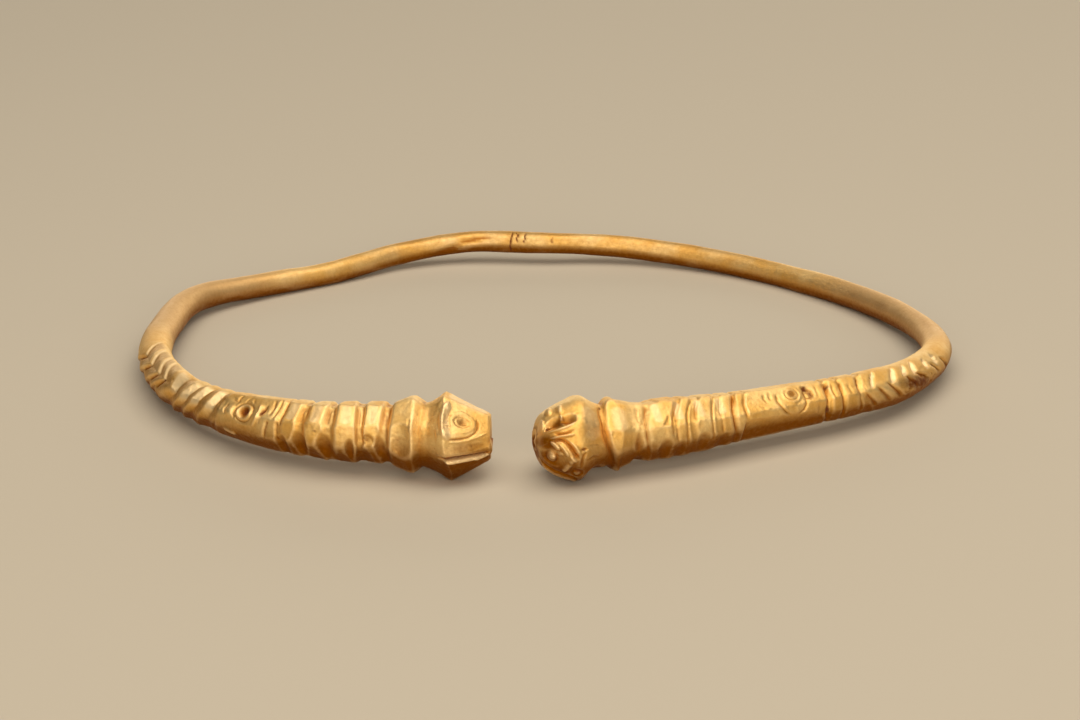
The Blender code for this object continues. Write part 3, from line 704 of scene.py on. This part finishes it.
def carve_second_eye(skin):
    """The second eye, a ball in a hollow, with lumps and a small ring round it."""
    skin.knob(1.85, -4, 0.5, 0.4, 0.16)
    skin.scoop(1.25, -8, 2.2, 2.2, 0.4)
    skin.knob(1.2, -12, 0.9, 1.05, 0.5)
    skin.highlight_rub(((1.2, -14), (1.25, -6)), 0.7, 0.6)
    skin.knob(2.35, -25, 0.55, 1.3, 0.26, turn=-25)
    skin.knob(2.15, -32, 0.4, 0.5, 0.12)
    skin.highlight_rub(((2.2, -32), (2.4, -20)), 0.4, 0.5)
    skin.knob(2.6, -13, 0.4, 0.5, 0.22)
    skin.ridge(((2.5, -5), (2.95, -13)), 0.36, 0.22)
    skin.ring(3.1, -36, 0.7, 0.8, 0.26, 0.2)
    skin.knob(3.1, -36, 0.4, 0.44, 0.08)
    skin.pits(2.0, 3.3, -40, -10, 12, 0.22, 0.1, seed=14)
    # painted shade on the lower side round the eye
    skin.stain_with_shade(1.0, -22, 2.4, 2.2, 1.0)
    skin.stain_with_shade(2.4, -40, 2.4, 1.5, 1.0)
    skin.dirt(0.7, -18, 1.5, 1.5, 0.4)
    skin.dirt(2.0, -38, 2.2, 1.1, 0.6)
    skin.dirt(3.2, -30, 0.8, 0.9, 0.7)


def carve_right_neck(skin):
    """The line of the jaw, and fine lines on the neck."""
    skin.ridge(((0.1, -45), (1.0, -50), (2.0, -53), (3.4, -58)), 0.42, 0.22, taper=0.1)
    skin.cut(((0.1, -37), (1.0, -42), (2.0, -45), (3.2, -50)), 0.4, 0.24, taper=0.1)
    skin.cut(((3.2, 5), (3.75, 4.5)), 0.26, 0.22)
    skin.dirt(3.45, 4, 0.4, 0.2, 0.9)
    skin.cut(((3.3, -24), (3.35, -8), (3.6, 2)), 0.3, 0.22)
    skin.cut(((3.5, 9), (4.3, 9), (5.0, 4), (5.6, -10)), 0.24, 0.05)
    # painted highlight on the upper side of the neck
    skin.highlight_rub(((4.3, 14), (4.35, 40), (4.4, 72)), 1.9, 0.5, taper=0.15)
    skin.cut(((3.6, -12), (4.3, -11), (4.9, -17)), 0.26, 0.12)
    skin.stain_with_shade(4.2, -14, 1.6, 1.2, 0.7)
    skin.pits(3.2, 5.3, -10, 75, 26, 0.18, 0.04, seed=15)
    skin.scallop(5.0, -62, 1.6, 0.3)


def carve_right_collar(skin):
    """The collar: a groove before it, and broad flats with a painted highlight, partly wear."""
    skin.cut(((6.3, -34), (5.95, -14), (5.5, 8), (5.35, 35), (5.4, 60), (5.5, 86)), 0.36, 0.14, taper=0.1)
    skin.dirt(5.6, 78, 0.3, 0.5, 1.0)
    skin.flat(6.9, 12, 1.8, 0.06)
    skin.flat(6.9, 54, 2.4, 0.08, tilt=-0.02)
    skin.highlight_rub(((7.0, 22), (7.05, 45), (7.15, 74)), 1.9, 0.5, taper=0.15)
    skin.pits(5.8, 8.4, 0, 70, 24, 0.2, 0.04, seed=16)
    skin.scallop(8.75, -6, 0.9, 0.34)
    skin.scallop(8.9, -58, 1.1, 0.32)


def carve_right_blocks(skin):
    """Notches in pairs, with blocks between them."""
    skin.cut(((8.85, 36), (8.8, 55), (8.95, 78)), 0.24, 0.1, taper=0.15)
    skin.cut(((9.65, -30), (9.45, -8), (9.3, 20), (9.35, 42), (9.55, 62), (9.95, 85)), 0.3, 0.17, taper=0.1)
    skin.cut(((9.1, 32), (9.1, 52), (9.3, 76)), 0.2, 0.08, taper=0.15)
    skin.recess(((11.5, 50), (10.7, 26), (11.5, 25)), 0.12, 0.1)
    for path, width, depth in (
            (((11.7, 0), (11.7, 25), (11.85, 42), (12.3, 62), (12.8, 82)), 0.26, 0.14),
            (((12.1, -12), (11.97, 18), (12.05, 36), (12.25, 52), (12.7, 70), (13.35, 92)), 0.3, 0.17),
            (((13.0, -22), (13.0, 20), (13.2, 40), (13.6, 62), (14.3, 86)), 0.3, 0.17),
            (((13.9, 22), (14.1, 48), (14.55, 70), (15.1, 90)), 0.3, 0.16),
            (((15.55, -22), (15.45, 18), (15.65, 40), (15.95, 60), (16.45, 86)), 0.32, 0.18),
            (((16.5, -10), (16.4, 20), (16.5, 42), (16.7, 60), (17.1, 82)), 0.26, 0.13),
            (((17.9, -18), (17.65, 14), (17.75, 40), (18.05, 62), (18.55, 88)), 0.44, 0.24)):
        skin.cut(path, width, depth, taper=0.1)
    skin.cut(((18.9, 15), (18.95, 42), (19.3, 72)), 0.3, 0.17, taper=0.15)
    last_edge = ((19.15, 18), (19.25, 50), (19.6, 74))
    skin.ridge(last_edge, 0.28, 0.1, taper=0.15)
    skin.highlight_rub(last_edge, 0.24, 0.5, taper=0.15)
    skin.flat(10.0, -14, 1.0, 0.06, tilt=0.05)
    for at, angle, length, bite in (
            (11.0, -30, 1.2, 0.18), (12.53, -34, 1.0, 0.16), (14.62, -26, 1.3, 0.18),
            (16.74, -36, 1.2, 0.14)):
        skin.scallop(at, angle, length, bite)
    skin.pits(9.5, 17.28, 26, 74, 50, 0.17, 0.04, seed=13)


def carve_ring_panel(skin):
    """The long flat panel of the ring and dot, with a pitted recess beside it that holds soil."""
    skin.flat(22.92, -24, 8.2, 0.2)
    skin.flat(26.9, -5, 0.8, 0.1)
    skin.cut(((21.31, 44), (21.16, 58), (21.42, 72)), 0.26, 0.16, lean=-0.4)
    skin.cut(((21.82, 44), (21.77, 60), (22.07, 74)), 0.22, 0.12, lean=-0.4)
    skin.cut(((23.62, 2), (23.02, 12), (22.62, 28), (22.47, 45), (22.62, 66)), 0.3, 0.2, lean=0.3, taper=0.15)
    skin.cut(((24.23, 1), (24.83, 8), (25.23, 24), (25.33, 42), (25.33, 66)), 0.3, 0.2, lean=-0.3,
             taper=0.15)
    skin.recess(((25.33, 77), (25.35, 36), (25.85, 31), (26.43, 46), (26.43, 62), (26.06, 74)), 0.24, 0.14)
    skin.dirt(26.05, 50, 0.7, 1.5, 0.75)
    skin.dirt(25.64, 70, 0.7, 0.6, 1.0)
    skin.disc(24.05, 55, 2.0, 1.9, 0.1)
    skin.ring(24.08, 57, 1.35, 1.25, 0.22, 0.16)
    skin.scoop(24.08, 57, 1.15, 1.05, 0.07)
    # painted shade in the hollow of the ring
    skin.stain_with_shade(24.08, 57, 0.95, 0.9, 0.8)
    skin.dirt(24.0, 64, 0.8, 0.25, 0.5)
    skin.pits(25.43, 26.38, 36, 74, 14, 0.24, 0.08, seed=17)
    skin.cut(((26.74, 26), (26.74, 50), (26.85, 76)), 0.2, 0.08)
    skin.pits(22.82, 25.13, 8, 40, 16, 0.2, 0.04, seed=18)


def carve_three_notches(skin):
    """Three notches, each with a fine line behind it."""
    skin.cut(((27.74, -36), (27.48, -12), (27.53, 12), (27.69, 40), (27.95, 66), (28.31, 88)), 0.44, 0.28,
             taper=0.1)
    skin.cut(((28.49, 22), (28.4, 45), (28.62, 72)), 0.26, 0.14)
    skin.cut(((29.5, -36), (29.25, -5), (29.21, 25), (29.35, 52), (29.59, 74)), 0.36, 0.22, taper=0.1)
    skin.cut(((30.27, 18), (30.18, 40), (30.27, 66)), 0.26, 0.12)
    skin.cut(((31.43, -32), (31.15, -5), (31.05, 24), (31.15, 48), (31.51, 76)), 0.4, 0.24, taper=0.1)
    skin.cut(((31.78, 26), (31.78, 50)), 0.22, 0.1)
    skin.dirt(28.04, 66, 0.6, 0.5, 1.0)
    skin.dirt(27.5, -8, 0.6, 1.3, 1.0)
    skin.dirt(31.25, 56, 0.3, 0.5, 0.9)


def carve_herringbone(skin):
    """Leaves above and deep cuts below that meet in Vs, with soil where they meet."""
    skin.leaf(((32.45, 28), (32.8, 55), (33.5, 84)), 0.45, 0.2, lean=-0.6)
    for path, width, depth in (
            (((34.9, 28), (35.3, 58), (35.95, 86)), 0.72, 0.32),
            (((36.7, 42), (37.05, 64), (37.5, 88)), 0.7, 0.32),
            (((38.15, 32), (38.45, 60), (39.05, 88)), 0.8, 0.36),
            (((40.65, 28), (40.7, 54), (41.0, 76)), 0.72, 0.36),
            (((42.7, 20), (42.75, 48), (42.85, 76)), 0.78, 0.36)):
        skin.leaf(path, width, depth, lean=-0.75, taper=0.3)
    for path, width, depth in (
            (((33.2, -26), (32.39, 0), (31.73, 23)), 0.62, 0.34),
            (((34.72, -20), (33.96, 8), (33.2, 32)), 0.6, 0.32),
            (((36.33, -22), (35.42, 8), (34.46, 39)), 0.62, 0.34),
            (((38.63, -8), (37.75, 16), (36.99, 41)), 0.6, 0.32),
            (((40.44, 2), (39.57, 20), (38.46, 39)), 0.6, 0.3),
            (((43.13, -4), (42.46, 20), (41.58, 45)), 0.6, 0.3),
            (((46.15, -22), (44.95, 12), (43.94, 42)), 0.66, 0.32)):
        skin.cut(path, width, depth, lean=0.5)
    skin.pits(36.33, 41.97, -26, 22, 44, 0.36, 0.16, seed=11)
    # painted shade on the lower wings, with the darker skin there
    skin.stain_with_shade(38.6, 2, 5.6, 1.6, 0.9, turn=-12)
    skin.dirt(38.75, 0, 5.2, 1.5, 0.78, turn=-12)
    skin.dirt(32.91, 64, 0.3, 0.5, 0.6, turn=65)
    skin.dirt(36.64, 46, 0.4, 0.5, 0.6, turn=-40)
    skin.dirt(36.33, 26, 3.0, 0.7, 0.35)


def work_right_arm(skin):
    """Everything done to the right arm, in the smith's order."""
    file_blocks(skin, (10.5, 12.55, 14.6, 16.7), 1.0, seed=34)
    carve_muzzle(skin)
    carve_brow(skin)
    carve_second_eye(skin)
    carve_right_neck(skin)
    carve_right_collar(skin)
    carve_right_blocks(skin)
    # the pitted lower side
    skin.pits(8.5, 31.0, -50, -4, 70, 0.3, 0.04, seed=21)
    carve_ring_panel(skin)
    carve_three_notches(skin)
    carve_herringbone(skin)
    # the space before the panel of the ring and dot
    skin.pits(19.81, 22.32, 5, 40, 14, 0.2, 0.04, seed=12)


# -------------------------------------------------------------------------------------- the fine mesh

CORNER = -7.5             # direction of one edge between the flat sides
FACING = 25               # the directions round this one show most, and get more of the places
CROWDING = 0.5            # how far a direction moves towards the front at most, in radians
FIRST_DIRECTION = -120    # directions are counted from here, round to 240
# Stretches of an arm: where each ends, number of places round it, spacing of its rings.
STRETCHES = ((4.8, 188, 0.068), (32.0, 92, 0.109), (48.0, 76, 0.165))
WIRE_SIDES = 36
WIRE_SPACING = 0.55
CRACKED_FROM, CRACKED_TO = 99.3, 105.0
CRACKED_SPACING = 0.1     # rings stand closer where the wire is cracked
CAP_RINGS = (0.96, 0.85, 0.65, 0.4, 0.15)     # rings across a blunt face, as shares of its size
DOME = 0.1                # the right head's blunt face stands out in the middle
WORN_PASSES = 1           # wear rounds off the edges

PLAIN_FROM = 44           # the worked arms turn into plain wire from here
PLAIN_FADE = 6

# Hammer marks and swellings: depth, size, how many times longer they are along the rod, seed.
WIRE_HAMMERING = (0.10, 1.15, 3.2, 4)
WIRE_SWELLINGS = (0.05, 1.6, 3, 9)
ARM_HAMMERING = (0.045, 1.2, 1, 7)
ARM_SWELLINGS = (0.016, 0.45, 1, 3)
ARM_GRAIN = (0.012, 0.22, 1, 5)

HOLLOW_PASSES = 10        # a place is a hollow where it lies below the ground this far around it
HOLLOW_DEPTH = 0.2        # depth of a full hollow, doubled
UNDERSIDE_SHADE_MIDDLE = -80       # painted shade on the underside: its middle direction, reach and soft border
UNDERSIDE_SHADE_REACH = 102
UNDERSIDE_SHADE_FADE = 56
UNDERSIDE_SHADE_ON_WIRE = 26       # how much further it reaches on the wire
DARKER_AT_BACK = 0.33     # strength of the darker colour all round the wire at the back
BACK_FROM = 74
BACK_FADE = 14
HAZE_FROM, HAZE_FADE_IN = 45, 7         # the wire is hazy behind the arms, and clears towards the back
HAZE_TO, HAZE_FADE_OUT = 66, 14


def stretches():
    """Number of places round, then distance and share of the size of each ring, for every stretch in turn."""
    arm = []
    start = 0
    for end, sides, spacing in STRETCHES:
        count = round((end - start) / spacing)
        arm.append((sides, [(start + (end - start) * step / count, 1) for step in range(count)]))
        start = end
    arm[0][1][:0] = [(0, share) for share in reversed(CAP_RINGS)]
    wire = [start]
    while wire[-1] < LENGTH - start - WIRE_SPACING:
        cracked = CRACKED_FROM < wire[-1] < CRACKED_TO
        wire.append(wire[-1] + (CRACKED_SPACING if cracked else WIRE_SPACING))
    wire = [(at, 1) for at in wire + [LENGTH - start]]
    right = [(sides, [(LENGTH - at, share) for at, share in reversed(places)]) for sides, places in arm]
    return arm + [(WIRE_SIDES, wire)] + right[::-1]


def draw_blank(shape):
    """Straight bar along X, closed at both ends, whose rings stand at X = 0, 1, 2 and so on. Gives the
    distance and the share of the size of each ring."""
    rings = []
    last_ring = []
    for sides, places in stretches():
        first, steps = len(rings), len(places) - 1
        corners = bmesh.ops.create_grid(shape, x_segments=steps, y_segments=sides, size=0.5)["verts"]
        for corner in corners:
            turn = math.tau * corner.co.y + math.radians(CORNER)
            corner.co = (first + round((corner.co.x + 0.5) * steps), math.cos(turn), math.sin(turn))
        bmesh.ops.remove_doubles(shape, verts=corners, dist=0.001)
        ends = {number: [] for number in (first, first + steps)}
        for edge in shape.edges:
            start, end = (corner.co.x for corner in edge.verts)
            if edge.is_boundary and start == end and start in ends:
                ends[start].append(edge)
        if last_ring:
            bmesh.ops.bridge_loops(shape, edges=last_ring + ends[first])
        last_ring = ends[first + steps]
        rings += places
    open_edges = [edge for edge in shape.edges if edge.is_boundary]
    bmesh.ops.holes_fill(shape, edges=open_edges, sides=0)
    return np.array(rings)


def read_blank(shape, rings):
    """Distance, share of the size and direction of each place on the blank. They crowd towards the front."""
    shape.verts.index_update()
    places = np.array([corner.co for corner in shape.verts])
    distance, share = rings[np.rint(places[:, 0]).astype(int)].T
    even = np.degrees(np.arctan2(places[:, 2], places[:, 1]))
    angle = even - math.degrees(CROWDING) * np.sin(np.radians(even - FACING))
    return distance, share, (angle - FIRST_DIRECTION) % 360 + FIRST_DIRECTION


def work_rod(distance, angle):
    """The worked skin of the whole rod: distance along it, radius, grime, stain and shine of each place."""
    on_left = distance < LENGTH / 2
    left = Skin(distance[on_left], angle[on_left], LEFT_ARM)
    right = Skin(LENGTH - distance[~on_left], angle[~on_left], RIGHT_ARM)
    work_left_arm(left)
    work_right_arm(right)
    left.along = left.along - left.push
    right.along = LENGTH - (right.along - right.push)
    skin = {name: np.empty_like(distance) for name in ("along", "radius", "grime", "stain_and_shade", "wear_and_highlight")}
    for name, values in skin.items():
        values[on_left] = getattr(left, name)
        values[~on_left] = getattr(right, name)
    return skin


def hammering(places, size, seed):
    """0 at the middle of a hammer mark, growing to its edge."""
    shift = Vector((seed, seed * 2, seed * 3))
    nearest = [noise.voronoi(Vector(place) / size + shift)[0][0] for place in places]
    return np.array(nearest) ** 2


def unevenness(places, size, seed):
    """Soft swellings between about -1 and 1."""
    shift = Vector((seed, seed * 2, seed * 3))
    return np.array([noise.noise(Vector(place) / size + shift) for place in places])


def beat(along, angle, radius, on_arm):
    """Hammer marks: long soft flats on the wire, small ones on the worked arms."""
    turn = np.radians(angle)
    across = radius * np.cos(turn)
    up = radius * np.sin(turn)

    def marks(pattern, depth, size, stretch, seed):
        return depth * pattern(np.stack([along / stretch, across, up], axis=-1), size, seed)

    on_wire = marks(hammering, *WIRE_HAMMERING) + marks(unevenness, *WIRE_SWELLINGS)
    on_arms = marks(hammering, *ARM_HAMMERING) + marks(unevenness, *ARM_SWELLINGS)
    on_arms += marks(unevenness, *ARM_GRAIN)
    return radius + (1 - on_arm) * on_wire + on_arm * on_arms


def blur(values, pairs, passes):
    """Values averaged with those of their neighbours."""
    count = np.bincount(pairs.ravel(), minlength=len(values))
    for _ in range(passes):
        total = np.bincount(pairs[:, 0], values[pairs[:, 1]], len(values))
        total += np.bincount(pairs[:, 1], values[pairs[:, 0]], len(values))
        values = (values + total / count) / 2
    return values


def darken(from_face, angle, on_arm, stain_and_shade):
    """Painted shade on the underside, the stains with their painted shade, and a darker colour all round the
    wire at the back.
    """
    reach = UNDERSIDE_SHADE_REACH + UNDERSIDE_SHADE_ON_WIRE * (1 - on_arm)
    underside_shade = rise((reach - np.abs(turned(angle, UNDERSIDE_SHADE_MIDDLE))) / UNDERSIDE_SHADE_FADE)
    at_back = DARKER_AT_BACK * rise((from_face - BACK_FROM) / BACK_FADE)
    return np.maximum(np.maximum(stain_and_shade, underside_shade), at_back)


def cloud_over(from_face):
    """The haze on the wire behind the arms, clearing towards the back."""
    return rise((from_face - HAZE_FROM) / HAZE_FADE_IN) * (1 - rise((from_face - HAZE_TO) / HAZE_FADE_OUT))


def fit_to_solid(spots):
    """The places centred on the solid's box, with its top, and flattened where they would pass the table."""
    low, high = spots.min(axis=0), spots.max(axis=0)
    cad_low, cad_high = np.array(CAD_BOX[0]) / MM, np.array(CAD_BOX[1]) / MM
    spots = spots + (cad_low + cad_high - low - high) / 2
    spots[:, 2] += (cad_high - cad_low - high + low)[2] / 2
    spots[:, 2] = np.maximum(spots[:, 2], 0)
    return spots


def make_rod():
    """The whole bracelet as one fine mesh, set over the frame's solid."""
    shape = bmesh.new()
    distance, share, angle = read_blank(shape, draw_blank(shape))
    pairs = np.array([[corner.index for corner in edge.verts] for edge in shape.edges])
    skin = work_rod(distance, angle)
    along = skin["along"] + DOME * (1 - share ** 2) * (distance > LENGTH / 2)
    from_face = np.minimum(along, LENGTH - along)
    on_arm = 1 - rise((from_face - PLAIN_FROM) / PLAIN_FADE)
    radius = share * beat(along, angle, blur(skin["radius"], pairs, WORN_PASSES), on_arm)
    depth = blur(radius, pairs, HOLLOW_PASSES) - radius
    spots = fit_to_solid(bend(along, angle, radius))
    for corner, spot in zip(shape.verts, spots * MM):
        corner.co = spot
    bmesh.ops.recalc_face_normals(shape, faces=shape.faces)
    mesh = bpy.data.meshes.new("gold_rod")
    shape.to_mesh(mesh)
    shape.free()
    mesh.shade_smooth()
    layers = {
        "grime": skin["grime"],
        "hollow": np.clip(0.5 + depth / HOLLOW_DEPTH, 0, 1),
        "patina_and_shade": darken(from_face, angle, on_arm, skin["stain_and_shade"]),
        "haze": cloud_over(from_face),
        "wear_and_highlight": skin["wear_and_highlight"],
    }
    for name, values in layers.items():
        layer = mesh.attributes.new(name, "FLOAT", "POINT")
        layer.data.foreach_set("value", values.astype(np.float32))
    rod = bpy.data.objects.new("gold_rod", mesh)
    bpy.context.scene.collection.objects.link(rod)
    return rod


# ------------------------------------------------------------------------------------------ materials

SATIN_GOLD = "#EDBB64"
PALE_GOLD = "#F5CF86"
HAZED_GOLD = "#E0B678"    # paler and greyer gold
# painted shade of the underside, with the darker orange skin of the stains
SHADE_AND_PATINA_GOLD = "#925603"
# painted shade in the hollows, with the orange skin that wear didn't reach there
HOLLOW_SHADE_GOLD = "#9A5608"
# painted highlight on edges, tops and cut faces, partly wear
WORN_HIGHLIGHT_GOLD = "#FADAA0"
SOIL = "#70360E"
SOIL_METAL = 0.6          # a little gold still shows through the soil
SOIL_ROUGHNESS = 0.75
PAPER = "#BDB19A"

CLOUD_SIZE = 3            # soft clouds of paler and deeper gold, in millimetres as the next three are
SPOT_SIZE = 0.4           # small spots in the darker orange of patina and painted shade, and in the soil
GRAIN_SIZE = 0.3          # the real satin is finer than 0.1, and is drawn this coarse so that it shows
GRAIN_DEPTH = 0.1

# Sockets of a Mix node: how much, the two values or the two colours, and its two results.
MUCH, VALUE_A, VALUE_B, COLOUR_A, COLOUR_B = 0, 2, 3, 6, 7
MIXED_VALUE, MIXED_COLOUR = 0, 2


def colour(code):
    """Linear colour of an sRGB hex value."""
    values = [int(code[start:start + 2], 16) / 255 for start in (1, 3, 5)]
    return [v / 12.92 if v <= 0.04045 else ((v + 0.055) / 1.055) ** 2.4 for v in values] + [1]


def add(tree, kind, inputs, **settings):
    """A node with its settings, and its inputs set or linked."""
    node = tree.nodes.new(kind)
    for name, value in settings.items():
        setattr(node, name, value)
    for name, value in inputs.items():
        socket = node.inputs[name]
        if isinstance(value, bpy.types.NodeSocket):
            tree.links.new(value, socket)
        else:
            socket.default_value = value
    return node


def per_mm(size):
    """Scale of a pattern whose features are a size in millimetres."""
    return 1 / (size * MM)


def hammered_gold():
    """High-carat gold, hammered, chased and worn in the ground, with a satin surface. Edges and worn tops get
    a painted highlight, partly wear. The hollows and the underside get painted shade in a deeper orange,
    along with the orange skin that wear didn't reach, and the wire at the back is darker all round. The wire
    behind the arms is paler and greyer, the graver's widest cuts get a painted highlight, and reddish-brown
    soil fills the deepest marks."""
    material = bpy.data.materials.new("hammered_gold")
    material.use_nodes = True
    tree = material.node_tree
    shader = tree.nodes["Principled BSDF"]
    place = add(tree, "ShaderNodeTexCoord", {}).outputs["Object"]
    grime, hollow, patina_and_shade, haze, wear_and_highlight = (
        add(tree, "ShaderNodeAttribute", {}, attribute_name=name).outputs["Fac"]
        for name in ("grime", "hollow", "patina_and_shade", "haze", "wear_and_highlight"))
    clouds, fine, grain = (
        add(tree, "ShaderNodeTexNoise", {
            "Vector": place, "Scale": per_mm(size), "Detail": detail, "Roughness": roughness}).outputs["Fac"]
        for size, detail, roughness in ((CLOUD_SIZE, 5, 0.5), (SPOT_SIZE, 6, 0.7), (GRAIN_SIZE, 6, 0.65)))
    speckles = add(tree, "ShaderNodeMath", {0: grime, 1: fine}, operation="MULTIPLY").outputs["Value"]

    # How each source runs between two of its values, and what it becomes at them.
    pale, spots, hollow_shade, edge, soil, satin = (
        add(tree, "ShaderNodeMapRange", {
            "Value": source, "From Min": low, "From Max": high, "To Min": at_low, "To Max": at_high,
        }).outputs["Result"]
        for source, low, high, at_low, at_high in (
            (clouds, 0.38, 0.62, 0, 1),
            (fine, 0.35, 0.65, -0.07, 0.07),      # the spots that break up the darker orange of patina and painted shade
            (hollow, 0.54, 1, 0, 0.9),            # painted shade in places below the ground around them, with the orange skin wear didn't reach
            (hollow, 0.48, 0.1, 0, 0.5),          # painted highlight on edges above it, partly wear
            (speckles, 0.12, 0.5, 0, 1),
            (fine, 0.35, 0.65, 0.48, 0.64)))      # roughness of the satin
    metal = add(tree, "ShaderNodeMapRange", {"Value": soil, "To Min": 1, "To Max": SOIL_METAL})
    rough = add(tree, "ShaderNodeMix", {MUCH: soil, VALUE_A: satin, VALUE_B: SOIL_ROUGHNESS},
                data_type="FLOAT")
    dark = add(tree, "ShaderNodeMath", {0: patina_and_shade, 1: spots}, operation="ADD", use_clamp=True)
    # painted highlight, partly wear, from the raised edges and the marked lines
    highlighted = add(tree, "ShaderNodeMath", {0: edge, 1: wear_and_highlight}, operation="MAXIMUM")

    surface = colour(SATIN_GOLD)
    for much, code in (
            (pale, PALE_GOLD), (haze, HAZED_GOLD), (dark.outputs["Value"], SHADE_AND_PATINA_GOLD), (hollow_shade, HOLLOW_SHADE_GOLD),
            (highlighted.outputs["Value"], WORN_HIGHLIGHT_GOLD), (soil, SOIL)):
        surface = add(tree, "ShaderNodeMix", {MUCH: much, COLOUR_A: surface, COLOUR_B: colour(code)},
                      data_type="RGBA").outputs[MIXED_COLOUR]
    bump = add(tree, "ShaderNodeBump", {"Height": grain, "Strength": 0.4, "Distance": GRAIN_DEPTH * MM})
    tree.links.new(surface, shader.inputs["Base Color"])
    tree.links.new(metal.outputs["Result"], shader.inputs["Metallic"])
    tree.links.new(rough.outputs[MIXED_VALUE], shader.inputs["Roughness"])
    tree.links.new(bump.outputs["Normal"], shader.inputs["Normal"])
    return material


def pale_paper():
    """Matt paper under the bracelet, which gives soft shadows and a faint warm light from below."""
    material = bpy.data.materials.new("pale_paper")
    material.use_nodes = True
    shader = material.node_tree.nodes["Principled BSDF"]
    shader.inputs["Base Color"].default_value = colour(PAPER)
    shader.inputs["Roughness"].default_value = 0.9
    shader.inputs["Specular IOR Level"].default_value = 0.2
    return material


# ----------------------------------------------------------------------------- floor, light and camera

FLOOR_REACH = 1.5         # metres from the middle
CAMERA_LIFT = 20          # degrees above the table
CAMERA_DISTANCE = 0.281
AIM = Vector((-0.0005, -0.006, 0.0025))
ROOM_TINT = "#C9CCD2"
ROOM_LIGHT = 0.1

# Soft boxes: place, width and height in metres, power in watts, tint.
LIGHTS = {
    "overhead": ((0.03, -0.06, 0.42), (0.66, 0.4), 2.2, "#FFF8F2"),
    "from_behind": ((0.08, 0.50, 0.13), (0.9, 0.22), 1.25, "#FFF8EA"),
    "from_front": ((0.03, -0.48, 0.18), (0.75, 0.24), 1.85, "#FFF8F0"),
}


def make_floor():
    """A wide level sheet that the bracelet lies on."""
    shape = bmesh.new()
    bmesh.ops.create_grid(shape, x_segments=1, y_segments=1, size=FLOOR_REACH)
    mesh = bpy.data.meshes.new("floor")
    shape.to_mesh(mesh)
    shape.free()
    mesh.materials.append(pale_paper())
    floor = bpy.data.objects.new("floor", mesh)
    bpy.context.scene.collection.objects.link(floor)


def make_light(name, place, size, power, tint):
    """A soft box aimed at the bracelet."""
    light = bpy.data.lights.new(name, "AREA")
    light.shape = "RECTANGLE"
    light.size, light.size_y = size
    light.energy = power
    light.color = colour(tint)[:3]
    box = bpy.data.objects.new(name, light)
    box.location = place
    box.rotation_euler = (AIM - Vector(place)).to_track_quat("-Z", "Y").to_euler()
    bpy.context.scene.collection.objects.link(box)


def make_camera():
    """Long lens from the front, looking down on the bracelet."""
    camera = bpy.data.cameras.new("camera")
    camera.lens = 100
    camera.sensor_width = 36
    camera.clip_start = 0.01
    holder = bpy.data.objects.new("camera", camera)
    lift = math.radians(CAMERA_LIFT)
    back = Vector((0, -math.cos(lift), math.sin(lift)))
    holder.location = AIM + CAMERA_DISTANCE * back
    holder.rotation_euler = (math.radians(90 - CAMERA_LIFT), 0, 0)
    bpy.context.scene.collection.objects.link(holder)
    bpy.context.scene.camera = holder


def make_room():
    """Dim even surroundings."""
    world = bpy.data.worlds.new("room")
    world.use_nodes = True
    shade = world.node_tree.nodes["Background"]
    shade.inputs["Color"].default_value = colour(ROOM_TINT)
    shade.inputs["Strength"].default_value = ROOM_LIGHT
    bpy.context.scene.world = world


rod = make_rod()
rod.data.materials.append(hammered_gold())
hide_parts("bracelet")
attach(rod, "root")

make_floor()
for name, values in LIGHTS.items():
    make_light(name, *values)
make_camera()
make_room()
bpy.context.scene.view_settings.view_transform = "Standard"
